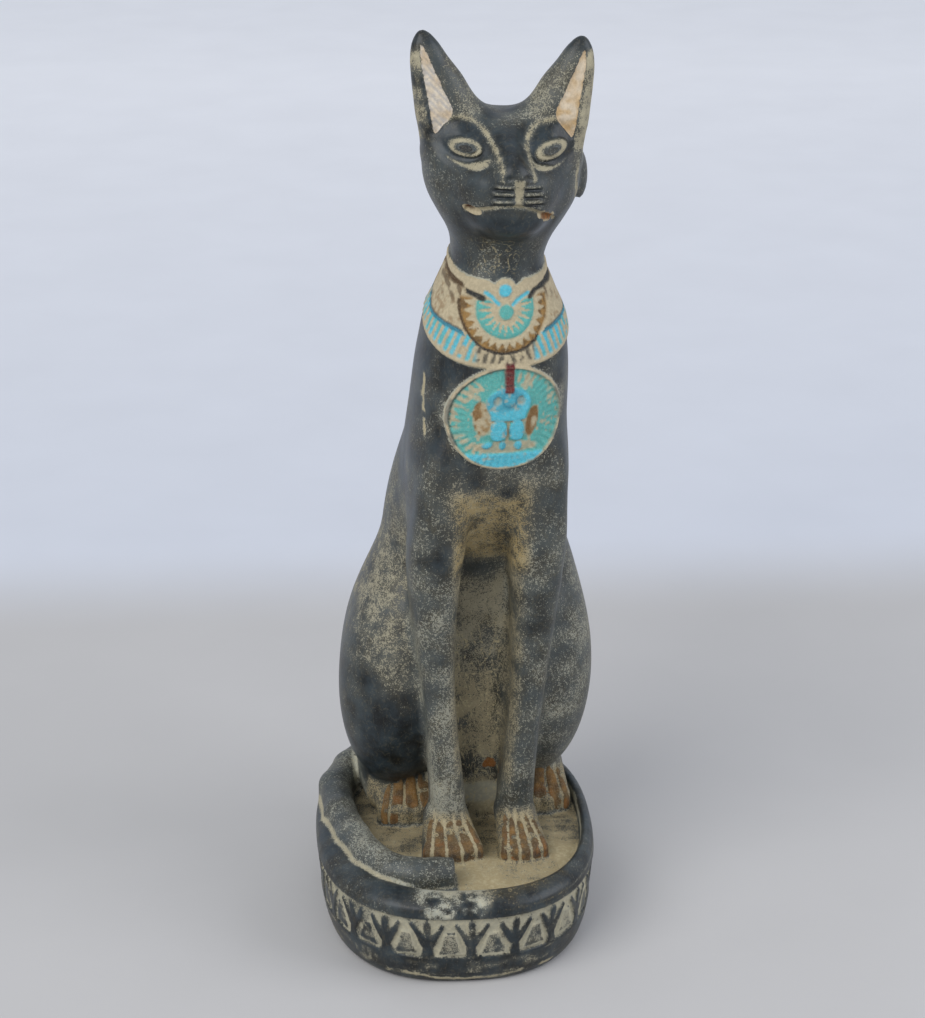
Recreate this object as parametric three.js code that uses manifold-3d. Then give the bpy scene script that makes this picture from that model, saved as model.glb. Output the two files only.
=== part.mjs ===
// Seated cat figure with a collar and a medallion, carved with its oval plinth from one dark stone.
// Millimetres, +Z up. The origin is the middle of the plinth's underside.
// The cat faces -Y and its tail lies along the plinth's rim on its right side, which is -X.
import * as THREE from "three";
import Module from "manifold-3d";

const wasm = await Module();
wasm.setup();

// Plinth
const plinthLength = 109;
const plinthWidth = 85.4;
const footBandHeight = 10.3;
const friezeHeight = 14.0;
const rimHeight = 5.2;
const footInset = 4.0;
const rimFlare = 1.2;
const friezeDepth = 0.9;
const trayDepth = 4.0;
const rimLeft = 8.2;
const rimRight = 3.4;
const rimFront = 9.8;
const rimBack = 6.6;
const plinthFullness = 2.5;
const plinthSegments = 76;

// Flowers of the frieze
const flowerPitch = 13.2;
const petalRaise = 0.75;

// Cat
const catHeight = 252.4;
const catShift = 7.6;
const catTurn = 6.0;
const catLean = 0.046;
const catHeadShift = 5.6;
const cellsInHeight = 170;
const mostTriangles = 9700;

// Tail
const tailRadius = 5.5;

const plinthHeight = footBandHeight + friezeHeight + rimHeight;
const floorZ = plinthHeight - trayDepth;
const halfWidth = plinthWidth / 2;
const halfLength = plinthLength / 2;

// The cat is drawn with a height of 252.4 units, so every share of it follows catHeight.
const unit = catHeight / 252.4;
const turnCos = Math.cos(THREE.MathUtils.degToRad(catTurn));
const turnSin = Math.sin(THREE.MathUtils.degToRad(catTurn));

// Helpers for the carving: each shape gives the distance to its surface, negative inside.
const clamp = (v, lo, hi) => Math.min(Math.max(v, lo), hi);
const mix = (a, b, t) => a + (b - a) * t;

function ease(from, to, v) {
  const t = clamp((v - from) / (to - from), 0, 1);
  return t * t * (3 - 2 * t);
}

function join(a, b, round) {
  const h = Math.max(round - Math.abs(a - b), 0) / round;
  return Math.min(a, b) - h * h * round / 4;
}

function keep(a, b, round) {
  return -join(-a, -b, round);
}

// Smooth line through pairs of place and value.
function profile(pairs) {
  const n = pairs.length;
  const slope = pairs.map((p, i) => {
    const a = pairs[Math.max(i - 1, 0)];
    const b = pairs[Math.min(i + 1, n - 1)];
    if (i === 0 || i === n - 1) return (b[1] - a[1]) / (b[0] - a[0]);
    const s = p[0] - a[0];
    const d = b[0] - p[0];
    return (s * s * b[1] + (d * d - s * s) * p[1] - d * d * a[1]) / (s * d * (s + d));
  });
  return (at) => {
    const t = clamp(at, pairs[0][0], pairs[n - 1][0]);
    let i = 0;
    while (i < n - 2 && t >= pairs[i + 1][0]) i++;
    const h = pairs[i + 1][0] - pairs[i][0];
    const s = (t - pairs[i][0]) / h;
    const s2 = s * s;
    const s3 = s2 * s;
    return (2 * s3 - 3 * s2 + 1) * pairs[i][1] + (s3 - 2 * s2 + s) * h * slope[i]
      + (3 * s2 - 2 * s3) * pairs[i + 1][1] + (s3 - s2) * h * slope[i + 1];
  };
}

function ball(x, y, z, c, r) {
  const u = (x - c[0]) / r[0];
  const v = (y - c[1]) / r[1];
  const w = (z - c[2]) / r[2];
  const k0 = Math.hypot(u, v, w) + 1e-9;
  const k1 = Math.hypot(u / r[0], v / r[1], w / r[2]) + 1e-9;
  return k0 * (k0 - 1) / k1;
}

function rod(x, y, z, a, b, ra, rb) {
  const dx = b[0] - a[0];
  const dy = b[1] - a[1];
  const dz = b[2] - a[2];
  const px = x - a[0];
  const py = y - a[1];
  const pz = z - a[2];
  const t = clamp((px * dx + py * dy + pz * dz) / (dx * dx + dy * dy + dz * dz), 0, 1);
  return Math.hypot(px - t * dx, py - t * dy, pz - t * dz) - mix(ra, rb, t);
}

function oval(x, y, a, b, n) {
  const u = Math.abs(x / a) + 1e-6;
  const v = Math.abs(y / b) + 1e-6;
  const s = u ** n + v ** n;
  const rho = s ** (1 / n);
  return (rho - 1) * s / (rho * Math.hypot(u ** (n - 1) / a, v ** (n - 1) / b));
}

// Body profiles over the height above the plinth's floor.
const torsoWidth = profile([[-6, 24], [34, 25.5], [94, 25.7], [118, 24.2], [140, 23.0], [161, 21.5],
  [170, 19.9], [179, 15.8], [185.5, 13.3], [191.5, 13.1], [210, 13.2], [225, 12.6]]);
const torsoFront = profile([[-6, 21], [34, 18], [74, 10], [92, -4], [106, -13], [120, -20.3],
  [134, -23.4], [152, -24], [164, -22.4], [178, -18], [188, -15.3], [215, -14]]);
const torsoBack = profile([[-6, 50], [20, 52.3], [44, 51.8], [74, 46.5], [104, 37.5], [140, 27],
  [170, 19.2], [190, 15.6], [225, 15]]);

function torso(x, y, z) {
  const front = torsoFront(z);
  const back = torsoBack(z);
  let d = oval(x, y - (front + back) / 2, torsoWidth(z), (back - front) / 2, 2.35);
  d = keep(d, z - 220, 4);
  d = keep(d, -6 - z, 2);
  return join(d, ball(x, y, z, [0.5, 19, 96.5], [26.2, 20, 46]), 6);
}

// Each foreleg is a bar that widens upwards and stands proud of the sunk belly wall between them.
// The belly is solid down to the floor between the hind feet.
const legPlace = profile([[-6, 10.7], [15, 10.9], [36, 12.6], [54, 14.1], [72, 15.1], [89, 15.5],
  [100, 15.3], [115, 14.6], [135, 13.5]]);
const legWidth = profile([[-6, 5.2], [15, 5.3], [36, 4.9], [54, 5.2], [72, 6.3], [89, 7.6],
  [100, 8.4], [115, 8.4], [135, 8]]);
const legMiddle = profile([[-6, -5.5], [36, -6], [72, -7.5], [100, -10], [135, -11]]);
const legDepth = profile([[-6, 8], [36, 8], [72, 9], [100, 10], [135, 11.3]]);

function legs(x, y, z) {
  const side = Math.abs(x);
  let d = oval(side - legPlace(z), y - legMiddle(z), legWidth(z), legDepth(z), 2.9);
  d = keep(d, z - 138.5, 16);
  const wall = keep(keep(side - 14, Math.abs(y - 14) - 12, 2), z - 96.5, 3);
  const under = keep(keep(side - 23, Math.abs(y - 21) - 11, 2), z - 8.5, 2);
  return keep(join(join(d, wall, 2.5), under, 2.5), -6 - z, 2);
}

// Four toes fan out from the ankle. They stand on the floor without a gap below.
function paw(x, y, z, place, spread, from, to, high, low, ankle, toe) {
  let d = 1e3;
  for (let i = 0; i < 4; i++) {
    const t = (i - 1.5) / 1.5;
    const a = [place + t * spread * 0.4, from, high];
    const b = [place + t * spread, to + 1.6 * Math.abs(t), low];
    d = join(d, rod(x, y, Math.max(z, low), a, b, ankle, toe), 0.7);
  }
  return d;
}

function haunch(x, y, z) {
  const side = Math.abs(x);
  const py = y - 22.5;
  const pz = z - 48.5;
  let d = ball(side - 20.3, py * 0.9877 + pz * 0.1564, pz * 0.9877 - py * 0.1564, [0, 0, 0], [17.8, 26, 46]);
  d = join(d, ball(side, y, z, [22.6, 9, 44], [14.6, 13, 28]), 12);
  return join(d, rod(side, y, z, [23.5, 34, 5.5], [23, 13, 7.5], 8.5, 8.2), 5);
}

// Head, measured from the level of the cheeks.
const cheekHeight = 214.5;
const skullWidth = profile([[-26, 11], [-18, 16], [-13.5, 18.6], [-8.7, 21], [-3.4, 22.3], [0, 22.4],
  [5, 21.9], [10, 20.8], [14, 18.2], [16.8, 13]]);
const skullFront = profile([[-26, -13], [-18, -18.5], [-12, -22], [-3, -24], [5, -22.5], [10, -19.5],
  [16.8, -9]]);
const skullBack = profile([[-26, 12], [-10, 16], [0, 17.2], [8, 15.4], [16.8, 6]]);
const earPlace = profile([[5, 14.2], [10, 14.9], [19, 16.6], [24, 18], [30, 20.4], [37.2, 22.2]]);
const earWidth = profile([[5, 7.8], [12, 8.8], [19, 8.3], [24, 7.4], [30, 5.2], [34, 3.4], [37.2, 1.0]]);
const earDepth = profile([[5, 9], [12, 8.2], [24, 5.4], [34, 2.7], [37.2, 0.9]]);

function skull(x, y, z) {
  const front = skullFront(z);
  const back = skullBack(z);
  const d = oval(x, y - (front + back) / 2, skullWidth(z), (back - front) / 2, 2.1);
  return keep(keep(d, z - 15, 8), -26 - z, 3);
}

function ear(side, y, z) {
  const d = oval(side - earPlace(z), y + 5.5, earWidth(z), earDepth(z), 2.2);
  // The inner ear is a narrow sunk triangle that runs from the tip down to the brow.
  const along = clamp((z - 11) / 19, 0, 1);
  const edge = Math.abs(side - mix(16.8, 21.2, along)) - mix(3.2, 0.6, along);
  const panel = ease(0.8, -0.8, edge) * ease(9, 12, z) * ease(32, 28, z) * ease(-6, -8, y);
  return keep(keep(d + 1.1 * panel, z - 37, 1.5), 2 - z, 3);
}

// Raised marks of the face, as a height over the place seen from the front.
function faceRelief(side, z) {
  const socket = Math.hypot((side - 12.6) / 9.2, (z - 8.4) / 6.6);
  const eye = Math.hypot((side - 12.1) / 5.0, (z - 7.6) / 2.8);
  let h = -1.5 * ease(1.25, 0.8, socket) + 1.8 * ease(1.35, 0.8, eye) - 0.6 * ease(0.7, 0.3, eye);
  const lip = z + 4.6 + 0.028 * side * side;
  h -= 0.7 * ease(1.1, 0.3, Math.abs(lip)) * ease(14, 12, side);
  return h;
}

function head(x, y, z) {
  if (z < 180) return Math.max(8, 186 - z);
  const px = x - catHeadShift + 0.06 * Math.min(y + 12, 0);
  const pz = z - cheekHeight + 0.05 * px;
  const side = Math.abs(px);
  let d = join(skull(px, y, pz), ear(side, y, pz), mix(9, 4, ease(12, 18, side)));
  d = join(d, ball(px, y, pz, [0, -21.6, -2.9], [11.8, 9.6, 8.6]), 7);
  d = join(d, ball(px, y, pz, [0, -19.7, -11.3], [9, 8.4, 6]), 5);
  if (y < -8) d -= faceRelief(side, pz) * ease(-10, -16, y);
  let nose = rod(px, y, pz, [0, -11.5, 7], [0, -27.4, 3.6], 6.2, 3.8);
  nose = join(nose, ball(px, y, pz, [0, -28.6, 2.5], [4.5, 3.4, 3]), 2);
  d = join(d, nose, 4);
  // A small lobe stands behind the left cheek.
  return join(d, ball(px, y, pz, [22.4, 0, -3.4], [2.6, 5, 7.2]), 1.6);
}

// Collar and medallion, as a height over the chest.
function chestRelief(x, y, z) {
  const outer = z - 159.9 - 0.38 * (y + 23);
  const upper = z - 184.2 - 0.17 * (y + 17);
  let h = 0.7 * ease(-0.5, 0.3, outer) * ease(0.5, -0.3, upper);
  h -= 0.4 * ease(0.7, 0.2, Math.abs(outer - 6.2)) * ease(0, -6, y);
  h -= 0.4 * ease(0.7, 0.2, Math.abs(upper + 3.2));
  if (y > -8) return h;
  const fan = Math.hypot(x, (z - 176.5) * 1.06);
  h += 0.6 * ease(13.2, 12.4, fan) * ease(0.5, -0.3, upper) - 0.3 * ease(0.7, 0.2, Math.abs(fan - 8.3));
  const disc = Math.hypot(x / 16.6, (z - 145.4) / 15.3) * 16;
  h = Math.max(h, 1.3 * ease(16.4, 15.6, disc));
  if (disc < 16) h -= 0.7 * ease(14.7, 14.1, disc);
  const wings = Math.abs(Math.hypot(x / 6.4, (z - 150) / 5.6) - 1) * 6;
  const body = Math.hypot(x / 3.6, (z - 147) / 5);
  const lobes = Math.hypot((Math.abs(x) - 3.1) / 2.7, (z - 139.4) / 3.6);
  const raised = [ease(2.2, 1.4, wings) * ease(154.5, 153, z), ease(1.1, 0.9, body), ease(1.1, 0.9, lobes)];
  return h + 0.8 * Math.max(...raised);
}

function cat(wx, wy, wz) {
  const qx = (wx - catShift) / unit;
  const qy = wy / unit;
  const z = (wz - floorZ) / unit;
  const straight = qx * turnCos + qy * turnSin;
  const y = qy * turnCos - qx * turnSin;
  const x = straight - catLean * (z - 82.5);
  const side = Math.abs(x);
  let d = torso(x, y, z);
  if (z < 108) d = join(d, haunch(x - (z < 50 ? 0.0005 : 0.0009) * (z - 50) ** 2, y, z), 7);
  if (z < 150) d = join(d, legs(straight - catLean * Math.max(z - 92.5, 0), y, z), 3 + 3 * ease(92, 124, z));
  if (z > 120 && z < 196) d -= chestRelief(x, y, z);
  d = join(d, head(qx, qy, z), 4);
  if (z < 30) {
    d = join(d, paw(-straight, y, z, 11.6, 6.7, -6.5, -22.5, 7.4, 2.5, 4.3, 2.9), 2.5);
    d = join(d, paw(straight, y, z, 10.2, 5.1, -6.5, -25, 7.4, 2.5, 4.1, 2.7), 2.5);
    d = join(d, paw(Math.abs(straight), y, z, 20.6, 6.3, 11, 4, 10.5, 4.2, 7.2, 4.2), 2);
  }
  return d * unit;
}

// The tail stands solid on the floor. It leaves the rump, follows the rim on the right side
// and ends blunt in front of the forepaws.
// Each row holds shares of the half width and half length, the thickness and the height, both in radii.
const tailPath = [
  [0.05, 0.68, 1.1, 1.1], [-0.28, 0.8, 1.06, 0.85], [-0.54, 0.74, 0.94, 0.55], [-0.755, 0.54, 0.88, 0.35],
  [-0.865, 0.31, 0.9, 0.35], [-0.835, 0, 0.9, 0.25], [-0.75, -0.262, 0.92, 0.15],
  [-0.64, -0.48, 0.94, 0.08], [-0.50, -0.625, 0.93, 0.05], [-0.34, -0.68, 0.9, 0.03],
  [-0.187, -0.68, 0.88, 0], [-0.03, -0.672, 0.86, 0],
];

const tailPlace = tailPath.map(([u, v, thick, lift]) => ({
  radius: tailRadius * thick,
  at: [u * halfWidth, v * halfLength, plinthHeight + tailRadius * (lift - 0.1)],
}));

function tail(x, y, z) {
  let d = 20;
  if (z > plinthHeight + 30) return d;
  for (let i = 0; i < tailPlace.length - 1; i++) {
    const a = tailPlace[i];
    const b = tailPlace[i + 1];
    d = join(d, rod(x, y, Math.max(z, (a.at[2] + b.at[2]) / 2), a.at, b.at, a.radius, b.radius), 1.5);
  }
  return keep(d, x + 0.052 * halfWidth, 1);
}

function carving(x, y, z) {
  return keep(join(cat(x, y, z), tail(x, y, z), 0.8), floorZ - 5 - z, 0.5);
}

// True when the corners of a grid cell that lie on one side of the surface hang together along its edges.
const together = Array.from({ length: 256 }, (_, set) => {
  let reached = set & -set;
  for (let round = 0; round < 4; round++) {
    for (let c = 0; c < 8; c++) {
      if (reached >> c & 1) for (const flip of [1, 2, 4]) reached |= set & (1 << (c ^ flip));
    }
  }
  return reached === set;
});

// Fills the cracks thinner than a cell, so the skin goes through each cell as one sheet.
function closeGaps(value, n, step) {
  for (let open = 1; open;) {
    open = 0;
    for (let i = 0; i < n[0] - 1; i++) {
      for (let j = 0; j < n[1] - 1; j++) {
        for (let k = 0; k < n[2] - 1; k++) {
          const p = (i * n[1] + j) * n[2] + k;
          let inside = 0;
          let thinnest = -1;
          for (let c = 0; c < 8; c++) {
            const q = p + (c & 1) * step[0] + (c >> 1 & 1) * step[1] + (c >> 2) * step[2];
            if (value[q] < 0) inside |= 1 << c;
            else if (thinnest < 0 || value[q] < value[thinnest]) thinnest = q;
          }
          if (together[inside] && together[255 - inside]) continue;
          value[thinnest] = -0.05;
          open++;
        }
      }
    }
  }
}

// Skin of the carving: one corner in each grid cell that the surface crosses, then moved onto the surface.
function skin(field, low, high, cell) {
  const n = low.map((v, i) => Math.ceil((high[i] - v) / cell) + 1);
  const at = (i, j, k) => (i * n[1] + j) * n[2] + k;
  const value = new Float32Array(n[0] * n[1] * n[2]).fill(1e3);
  const block = 6;
  for (let i = 0; i < n[0]; i += block) {
    for (let j = 0; j < n[1]; j += block) {
      for (let k = 0; k < n[2]; k += block) {
        const half = block * cell / 2;
        const mid = field(low[0] + i * cell + half, low[1] + j * cell + half, low[2] + k * cell + half);
        const far = Math.abs(mid) > half * 3.2;
        for (let a = i; a < Math.min(i + block, n[0]); a++) {
          for (let b = j; b < Math.min(j + block, n[1]); b++) {
            for (let c = k; c < Math.min(k + block, n[2]); c++) {
              value[at(a, b, c)] = far ? mid : field(low[0] + a * cell, low[1] + b * cell, low[2] + c * cell);
            }
          }
        }
      }
    }
  }
  const step = [n[1] * n[2], n[2], 1];
  closeGaps(value, n, step);
  const corner = new Int32Array(value.length).fill(-1);
  const points = [];
  for (let i = 0; i < n[0] - 1; i++) {
    for (let j = 0; j < n[1] - 1; j++) {
      for (let k = 0; k < n[2] - 1; k++) {
        const sum = [0, 0, 0];
        let count = 0;
        for (let axis = 0; axis < 3; axis++) {
          for (let q = 0; q < 4; q++) {
            const o = [0, 0, 0];
            o[(axis + 1) % 3] = q & 1;
            o[(axis + 2) % 3] = q >> 1;
            const p = at(i + o[0], j + o[1], k + o[2]);
            const va = value[p];
            const vb = value[p + step[axis]];
            if (va < 0 === vb < 0) continue;
            o[axis] = va / (va - vb);
            for (let e = 0; e < 3; e++) sum[e] += o[e];
            count++;
          }
        }
        if (!count) continue;
        corner[at(i, j, k)] = points.length;
        points.push([i, j, k].map((v, e) => low[e] + (v + sum[e] / count) * cell));
      }
    }
  }
  const faces = [];
  for (let i = 1; i < n[0] - 1; i++) {
    for (let j = 1; j < n[1] - 1; j++) {
      for (let k = 1; k < n[2] - 1; k++) {
        const p = at(i, j, k);
        for (let axis = 0; axis < 3; axis++) {
          const inside = value[p] < 0;
          if (inside === value[p + step[axis]] < 0) continue;
          const s = step[(axis + 1) % 3];
          const t = step[(axis + 2) % 3];
          const q = [corner[p - s - t], corner[p - t], corner[p], corner[p - s]];
          if (!inside) q.reverse();
          const across = (a, b) => Math.hypot(...points[a].map((v, e) => v - points[b][e]));
          if (across(q[0], q[2]) < across(q[1], q[3])) faces.push([q[0], q[1], q[2]], [q[0], q[2], q[3]]);
          else faces.push([q[0], q[1], q[3]], [q[1], q[2], q[3]]);
        }
      }
    }
  }
  const e = 0.05 * cell;
  for (let round = 0; round < 2; round++) {
    for (const p of points) {
      const d = field(...p);
      const g = [
        (field(p[0] + e, p[1], p[2]) - field(p[0] - e, p[1], p[2])) / (2 * e),
        (field(p[0], p[1] + e, p[2]) - field(p[0], p[1] - e, p[2])) / (2 * e),
        (field(p[0], p[1], p[2] + e) - field(p[0], p[1], p[2] - e)) / (2 * e)];
      const move = clamp(d / Math.max(g[0] * g[0] + g[1] * g[1] + g[2] * g[2], 0.3), -cell / 3, cell / 3);
      for (let a = 0; a < 3; a++) p[a] -= move * g[a];
    }
  }
  return { points, faces };
}

// Queue that gives the entry with the smallest cost first.
function costQueue() {
  const items = [];
  const swap = (i, j) => { [items[i], items[j]] = [items[j], items[i]]; };
  return {
    push(item) {
      let i = items.push(item) - 1;
      while (i > 0 && items[(i - 1) >> 1].cost > items[i].cost) {
        swap(i, (i - 1) >> 1);
        i = (i - 1) >> 1;
      }
    },
    pop() {
      if (!items.length) return null;
      const top = items[0];
      const last = items.pop();
      if (items.length) {
        items[0] = last;
        for (let i = 0; ;) {
          let small = i;
          for (const c of [2 * i + 1, 2 * i + 2]) {
            if (c < items.length && items[c].cost < items[small].cost) small = c;
          }
          if (small === i) break;
          swap(i, small);
          i = small;
        }
      }
      return top;
    },
  };
}

const minus = (a, b) => [a[0] - b[0], a[1] - b[1], a[2] - b[2]];
const dot = (a, b) => a[0] * b[0] + a[1] * b[1] + a[2] * b[2];

function cross(a, b) {
  return [a[1] * b[2] - a[2] * b[1], a[2] * b[0] - a[0] * b[2], a[0] * b[1] - a[1] * b[0]];
}

// Sum of squared distances from p to the planes gathered in q.
function planeError(q, p) {
  return q[0] * p[0] * p[0] + 2 * q[1] * p[0] * p[1] + 2 * q[2] * p[0] * p[2] + 2 * q[3] * p[0]
    + q[4] * p[1] * p[1] + 2 * q[5] * p[1] * p[2] + 2 * q[6] * p[1]
    + q[7] * p[2] * p[2] + 2 * q[8] * p[2] + q[9];
}

// Place for the corner that replaces the edge from a to b.
function bestPlace(q, a, b) {
  const middle = a.map((v, i) => (v + b[i]) / 2);
  const rows = [[q[0], q[1], q[2]], [q[1], q[4], q[5]], [q[2], q[5], q[7]]];
  const right = [-q[3], -q[6], -q[8]];
  const yz = cross(rows[1], rows[2]);
  const det = dot(rows[0], yz);
  const size = q[0] + q[4] + q[7];
  if (Math.abs(det) > 1e-3 * size ** 3) {
    const zx = cross(rows[2], rows[0]);
    const xy = cross(rows[0], rows[1]);
    const p = [0, 1, 2].map((i) => (right[0] * yz[i] + right[1] * zx[i] + right[2] * xy[i]) / det);
    if (Math.hypot(...minus(p, middle)) < 1.5 * Math.hypot(...minus(a, b))) return p;
  }
  return [a, b, middle].reduce((best, p) => (planeError(q, p) < planeError(q, best) ? p : best));
}

function longest(a, b, c) {
  return Math.max(Math.hypot(...minus(a, b)), Math.hypot(...minus(b, c)), Math.hypot(...minus(c, a)));
}

// Thins a closed skin: the edge whose loss changes the form least goes first.
function thin(points, faces, target, worth) {
  const planes = points.map(() => new Float64Array(10));
  const around = points.map(() => new Set());
  const stamp = new Int32Array(points.length);
  const queue = costQueue();
  let left = faces.length;
  faces.forEach((f, i) => {
    const [a, b, c] = f.map((v) => points[v]);
    const n = cross(minus(b, a), minus(c, a));
    const size = Math.hypot(...n) + 1e-12;
    const u = n.map((v) => v / size);
    const w = size * worth(a);
    const d = -dot(u, a);
    const q = [u[0] * u[0], u[0] * u[1], u[0] * u[2], u[0] * d, u[1] * u[1], u[1] * u[2], u[1] * d,
      u[2] * u[2], u[2] * d, d * d];
    for (const v of f) {
      around[v].add(i);
      q.forEach((term, t) => { planes[v][t] += w * term; });
    }
  });
  const near = (v) => {
    const found = new Set();
    for (const f of around[v]) for (const o of faces[f]) if (o !== v) found.add(o);
    return found;
  };
  const offer = (a, b) => {
    const q = planes[a].map((v, i) => v + planes[b][i]);
    const place = bestPlace(q, points[a], points[b]);
    const length = Math.hypot(...minus(points[a], points[b]));
    const cost = Math.max(planeError(q, place), 0) + 1e-4 * length ** 3;
    queue.push({ a, b, place, cost, sa: stamp[a], sb: stamp[b] });
  };
  const turns = (v, other, place) => {
    for (const f of around[v]) {
      if (faces[f].includes(other)) continue;
      const [a, b, c] = faces[f].map((o) => points[o]);
      const [na, nb, nc] = faces[f].map((o) => (o === v ? place : points[o]));
      const before = cross(minus(b, a), minus(c, a));
      const after = cross(minus(nb, na), minus(nc, na));
      const sizeBefore = Math.hypot(...before);
      const sizeAfter = Math.hypot(...after);
      if (sizeBefore > 1e-3 && dot(before, after) < 0.35 * sizeBefore * sizeAfter) return true;
      const shape = sizeAfter / longest(na, nb, nc) ** 2;
      if (shape < 0.09 && shape < sizeBefore / longest(a, b, c) ** 2) return true;
    }
    return false;
  };
  points.forEach((p, a) => { for (const b of near(a)) if (a < b) offer(a, b); });
  while (left > target) {
    const edge = queue.pop();
    if (!edge) break;
    const { a, b, place } = edge;
    if (stamp[a] !== edge.sa || stamp[b] !== edge.sb) continue;
    const nearA = near(a);
    const shared = [...near(b)].filter((v) => nearA.has(v));
    if (shared.length !== 2 || turns(a, b, place) || turns(b, a, place)) continue;
    for (const f of [...around[b]]) {
      if (faces[f].includes(a)) {
        for (const v of faces[f]) around[v].delete(f);
        faces[f] = null;
        left--;
      } else {
        faces[f] = faces[f].map((v) => (v === b ? a : v));
        around[a].add(f);
      }
    }
    around[b].clear();
    points[a] = place;
    planes[b].forEach((v, i) => { planes[a][i] += v; });
    stamp[a]++;
    stamp[b] = -1;
    for (const v of near(a)) offer(Math.min(a, v), Math.max(a, v));
  }
  return { points, faces: faces.filter((f) => f) };
}

function solid({ points, faces }) {
  const vertProperties = new Float32Array(points.flat());
  const mesh = new wasm.Mesh({ numProp: 3, vertProperties, triVerts: new Uint32Array(faces.flat()) });
  mesh.merge();
  return new wasm.Manifold(mesh);
}

// Point of an oval ring, spaced evenly along a full oval rather than by angle.
function ringPoint(a, b, turn, cx, cy) {
  const c = Math.cos(turn);
  const s = Math.sin(turn);
  const sum = Math.abs(c / a) ** plinthFullness + Math.abs(s / b) ** plinthFullness;
  const reach = sum ** (-1 / plinthFullness);
  return [cx + c * reach, cy + s * reach];
}

// Directions that cut the plinth's outline into equal lengths.
function evenTurns(count) {
  const fine = 1440;
  const length = [0];
  for (let i = 1; i <= fine; i++) {
    const p = ringPoint(halfWidth, halfLength, 2 * Math.PI * (i - 1) / fine, 0, 0);
    const q = ringPoint(halfWidth, halfLength, 2 * Math.PI * i / fine, 0, 0);
    length.push(length[i - 1] + Math.hypot(q[0] - p[0], q[1] - p[1]));
  }
  const turns = [];
  let at = 0;
  for (let k = 0; k < count; k++) {
    const want = length[fine] * k / count;
    while (length[at + 1] < want) at++;
    turns.push(2 * Math.PI * (at + (want - length[at]) / (length[at + 1] - length[at])) / fine);
  }
  return { turns, total: length[fine] };
}

const outline = evenTurns(plinthSegments);

// The frieze's ground leans outwards under the rim.
function wallInset(z) {
  return friezeDepth + mix(footInset * 0.1, -rimFlare * 0.7, (z - footBandHeight) / friezeHeight);
}

// The plinth is a stack of oval rings: up the side, over the rolled rim and down to the sunk floor.
function plinth() {
  const friezeTop = footBandHeight + friezeHeight;
  const rings = [[0, 1], [0.14, 0.68], [0.4, 0.4], [0.78, 0.18], [1, 0.1]].map(
    ([share, inset]) => [inset * footInset, share * footBandHeight]);
  for (const z of [footBandHeight + 0.4, friezeTop - 0.4]) rings.push([wallInset(z), z]);
  rings.push([-rimFlare * 0.7, friezeTop]);
  const stack = rings.map(([inset, z]) => [halfWidth - inset, halfLength - inset, 0, 0, z]);
  const floorWidth = halfWidth - (rimLeft + rimRight) / 2;
  const floorLength = halfLength - (rimFront + rimBack) / 2;
  const floorX = (rimLeft - rimRight) / 2;
  const floorY = (rimFront - rimBack) / 2;
  const over = (share, z) => stack.push([
    mix(halfWidth + rimFlare * 0.7, floorWidth, share), mix(halfLength + rimFlare * 0.7, floorLength, share),
    floorX * share, floorY * share, z]);
  for (const share of [0.05, 0.15, 0.3, 0.5]) {
    over(share, friezeTop + rimHeight * Math.sin(Math.acos(1 - 2 * share)));
  }
  over(0.74, plinthHeight - 0.1);
  over(0.88, plinthHeight - trayDepth * 0.3);
  over(0.95, plinthHeight - trayDepth * 0.75);
  over(1.04, floorZ);
  const points = [];
  for (const [a, b, cx, cy, z] of stack) {
    for (const turn of outline.turns) points.push([...ringPoint(a, b, turn, cx, cy), z]);
  }
  const faces = [];
  const n = plinthSegments;
  for (let r = 0; r < stack.length - 1; r++) {
    for (let i = 0; i < n; i++) {
      const j = (i + 1) % n;
      faces.push([r * n + i, r * n + j, (r + 1) * n + j], [r * n + i, (r + 1) * n + j, (r + 1) * n + i]);
    }
  }
  const bottom = points.push([0, 0, 0]) - 1;
  const top = points.push([floorX, floorY, floorZ]) - 1;
  const last = (stack.length - 1) * n;
  for (let i = 0; i < n; i++) {
    const j = (i + 1) % n;
    faces.push([bottom, j, i], [top, last + i, last + j]);
  }
  return solid({ points, faces });
}

// Place on the frieze's ground, at a distance along the outline and a height, raised by lift.
function friezePlace(at, z, lift) {
  const share = (at / outline.total) * outline.turns.length;
  const i = Math.floor(share);
  const n = outline.turns.length;
  const turn = (k) => outline.turns[((k % n) + n) % n] + 2 * Math.PI * Math.floor(k / n);
  const inset = wallInset(z) - lift;
  return [...ringPoint(halfWidth - inset, halfLength - inset, mix(turn(i), turn(i + 1), share - i), 0, 0), z];
}

// Lotus flowers stand on stems around the frieze: a middle petal and one leaning out on each side.
function flowers() {
  const count = Math.max(8, Math.round(outline.total / flowerPitch));
  const pitch = outline.total / count;
  const foot = footBandHeight - 0.5;
  const rise = friezeHeight + 0.5;
  const half = [[0, 0.94], [0.1, 0.78], [0.1, 0.58], [0.26, 0.86], [0.38, 0.84], [0.34, 0.6], [0.22, 0.4],
    [0.085, 0.3], [0.085, 0]];
  const contour = [...half.map(([u, v]) => [u * pitch, foot + v * rise]),
    ...half.slice(1).reverse().map(([u, v]) => [-u * pitch, foot + v * rise])];
  const front = THREE.ShapeUtils.triangulateShape(contour.map((p) => new THREE.Vector2(...p)), []);
  const n = contour.length;
  const points = [];
  const faces = [];
  for (let k = 0; k < count; k++) {
    const first = points.length;
    const middle = (k + 0.5) * pitch;
    for (const lift of [petalRaise, -1.2]) {
      for (const [s, z] of contour) points.push(friezePlace(middle + s, z, lift));
    }
    for (const [a, b, c] of front) {
      faces.push([first + a, first + b, first + c], [first + n + a, first + n + c, first + n + b]);
    }
    for (let i = 0; i < n; i++) {
      const j = (i + 1) % n;
      faces.push([first + i, first + j, first + n + j], [first + i, first + n + j, first + n + i]);
    }
  }
  return { points, faces };
}

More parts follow.
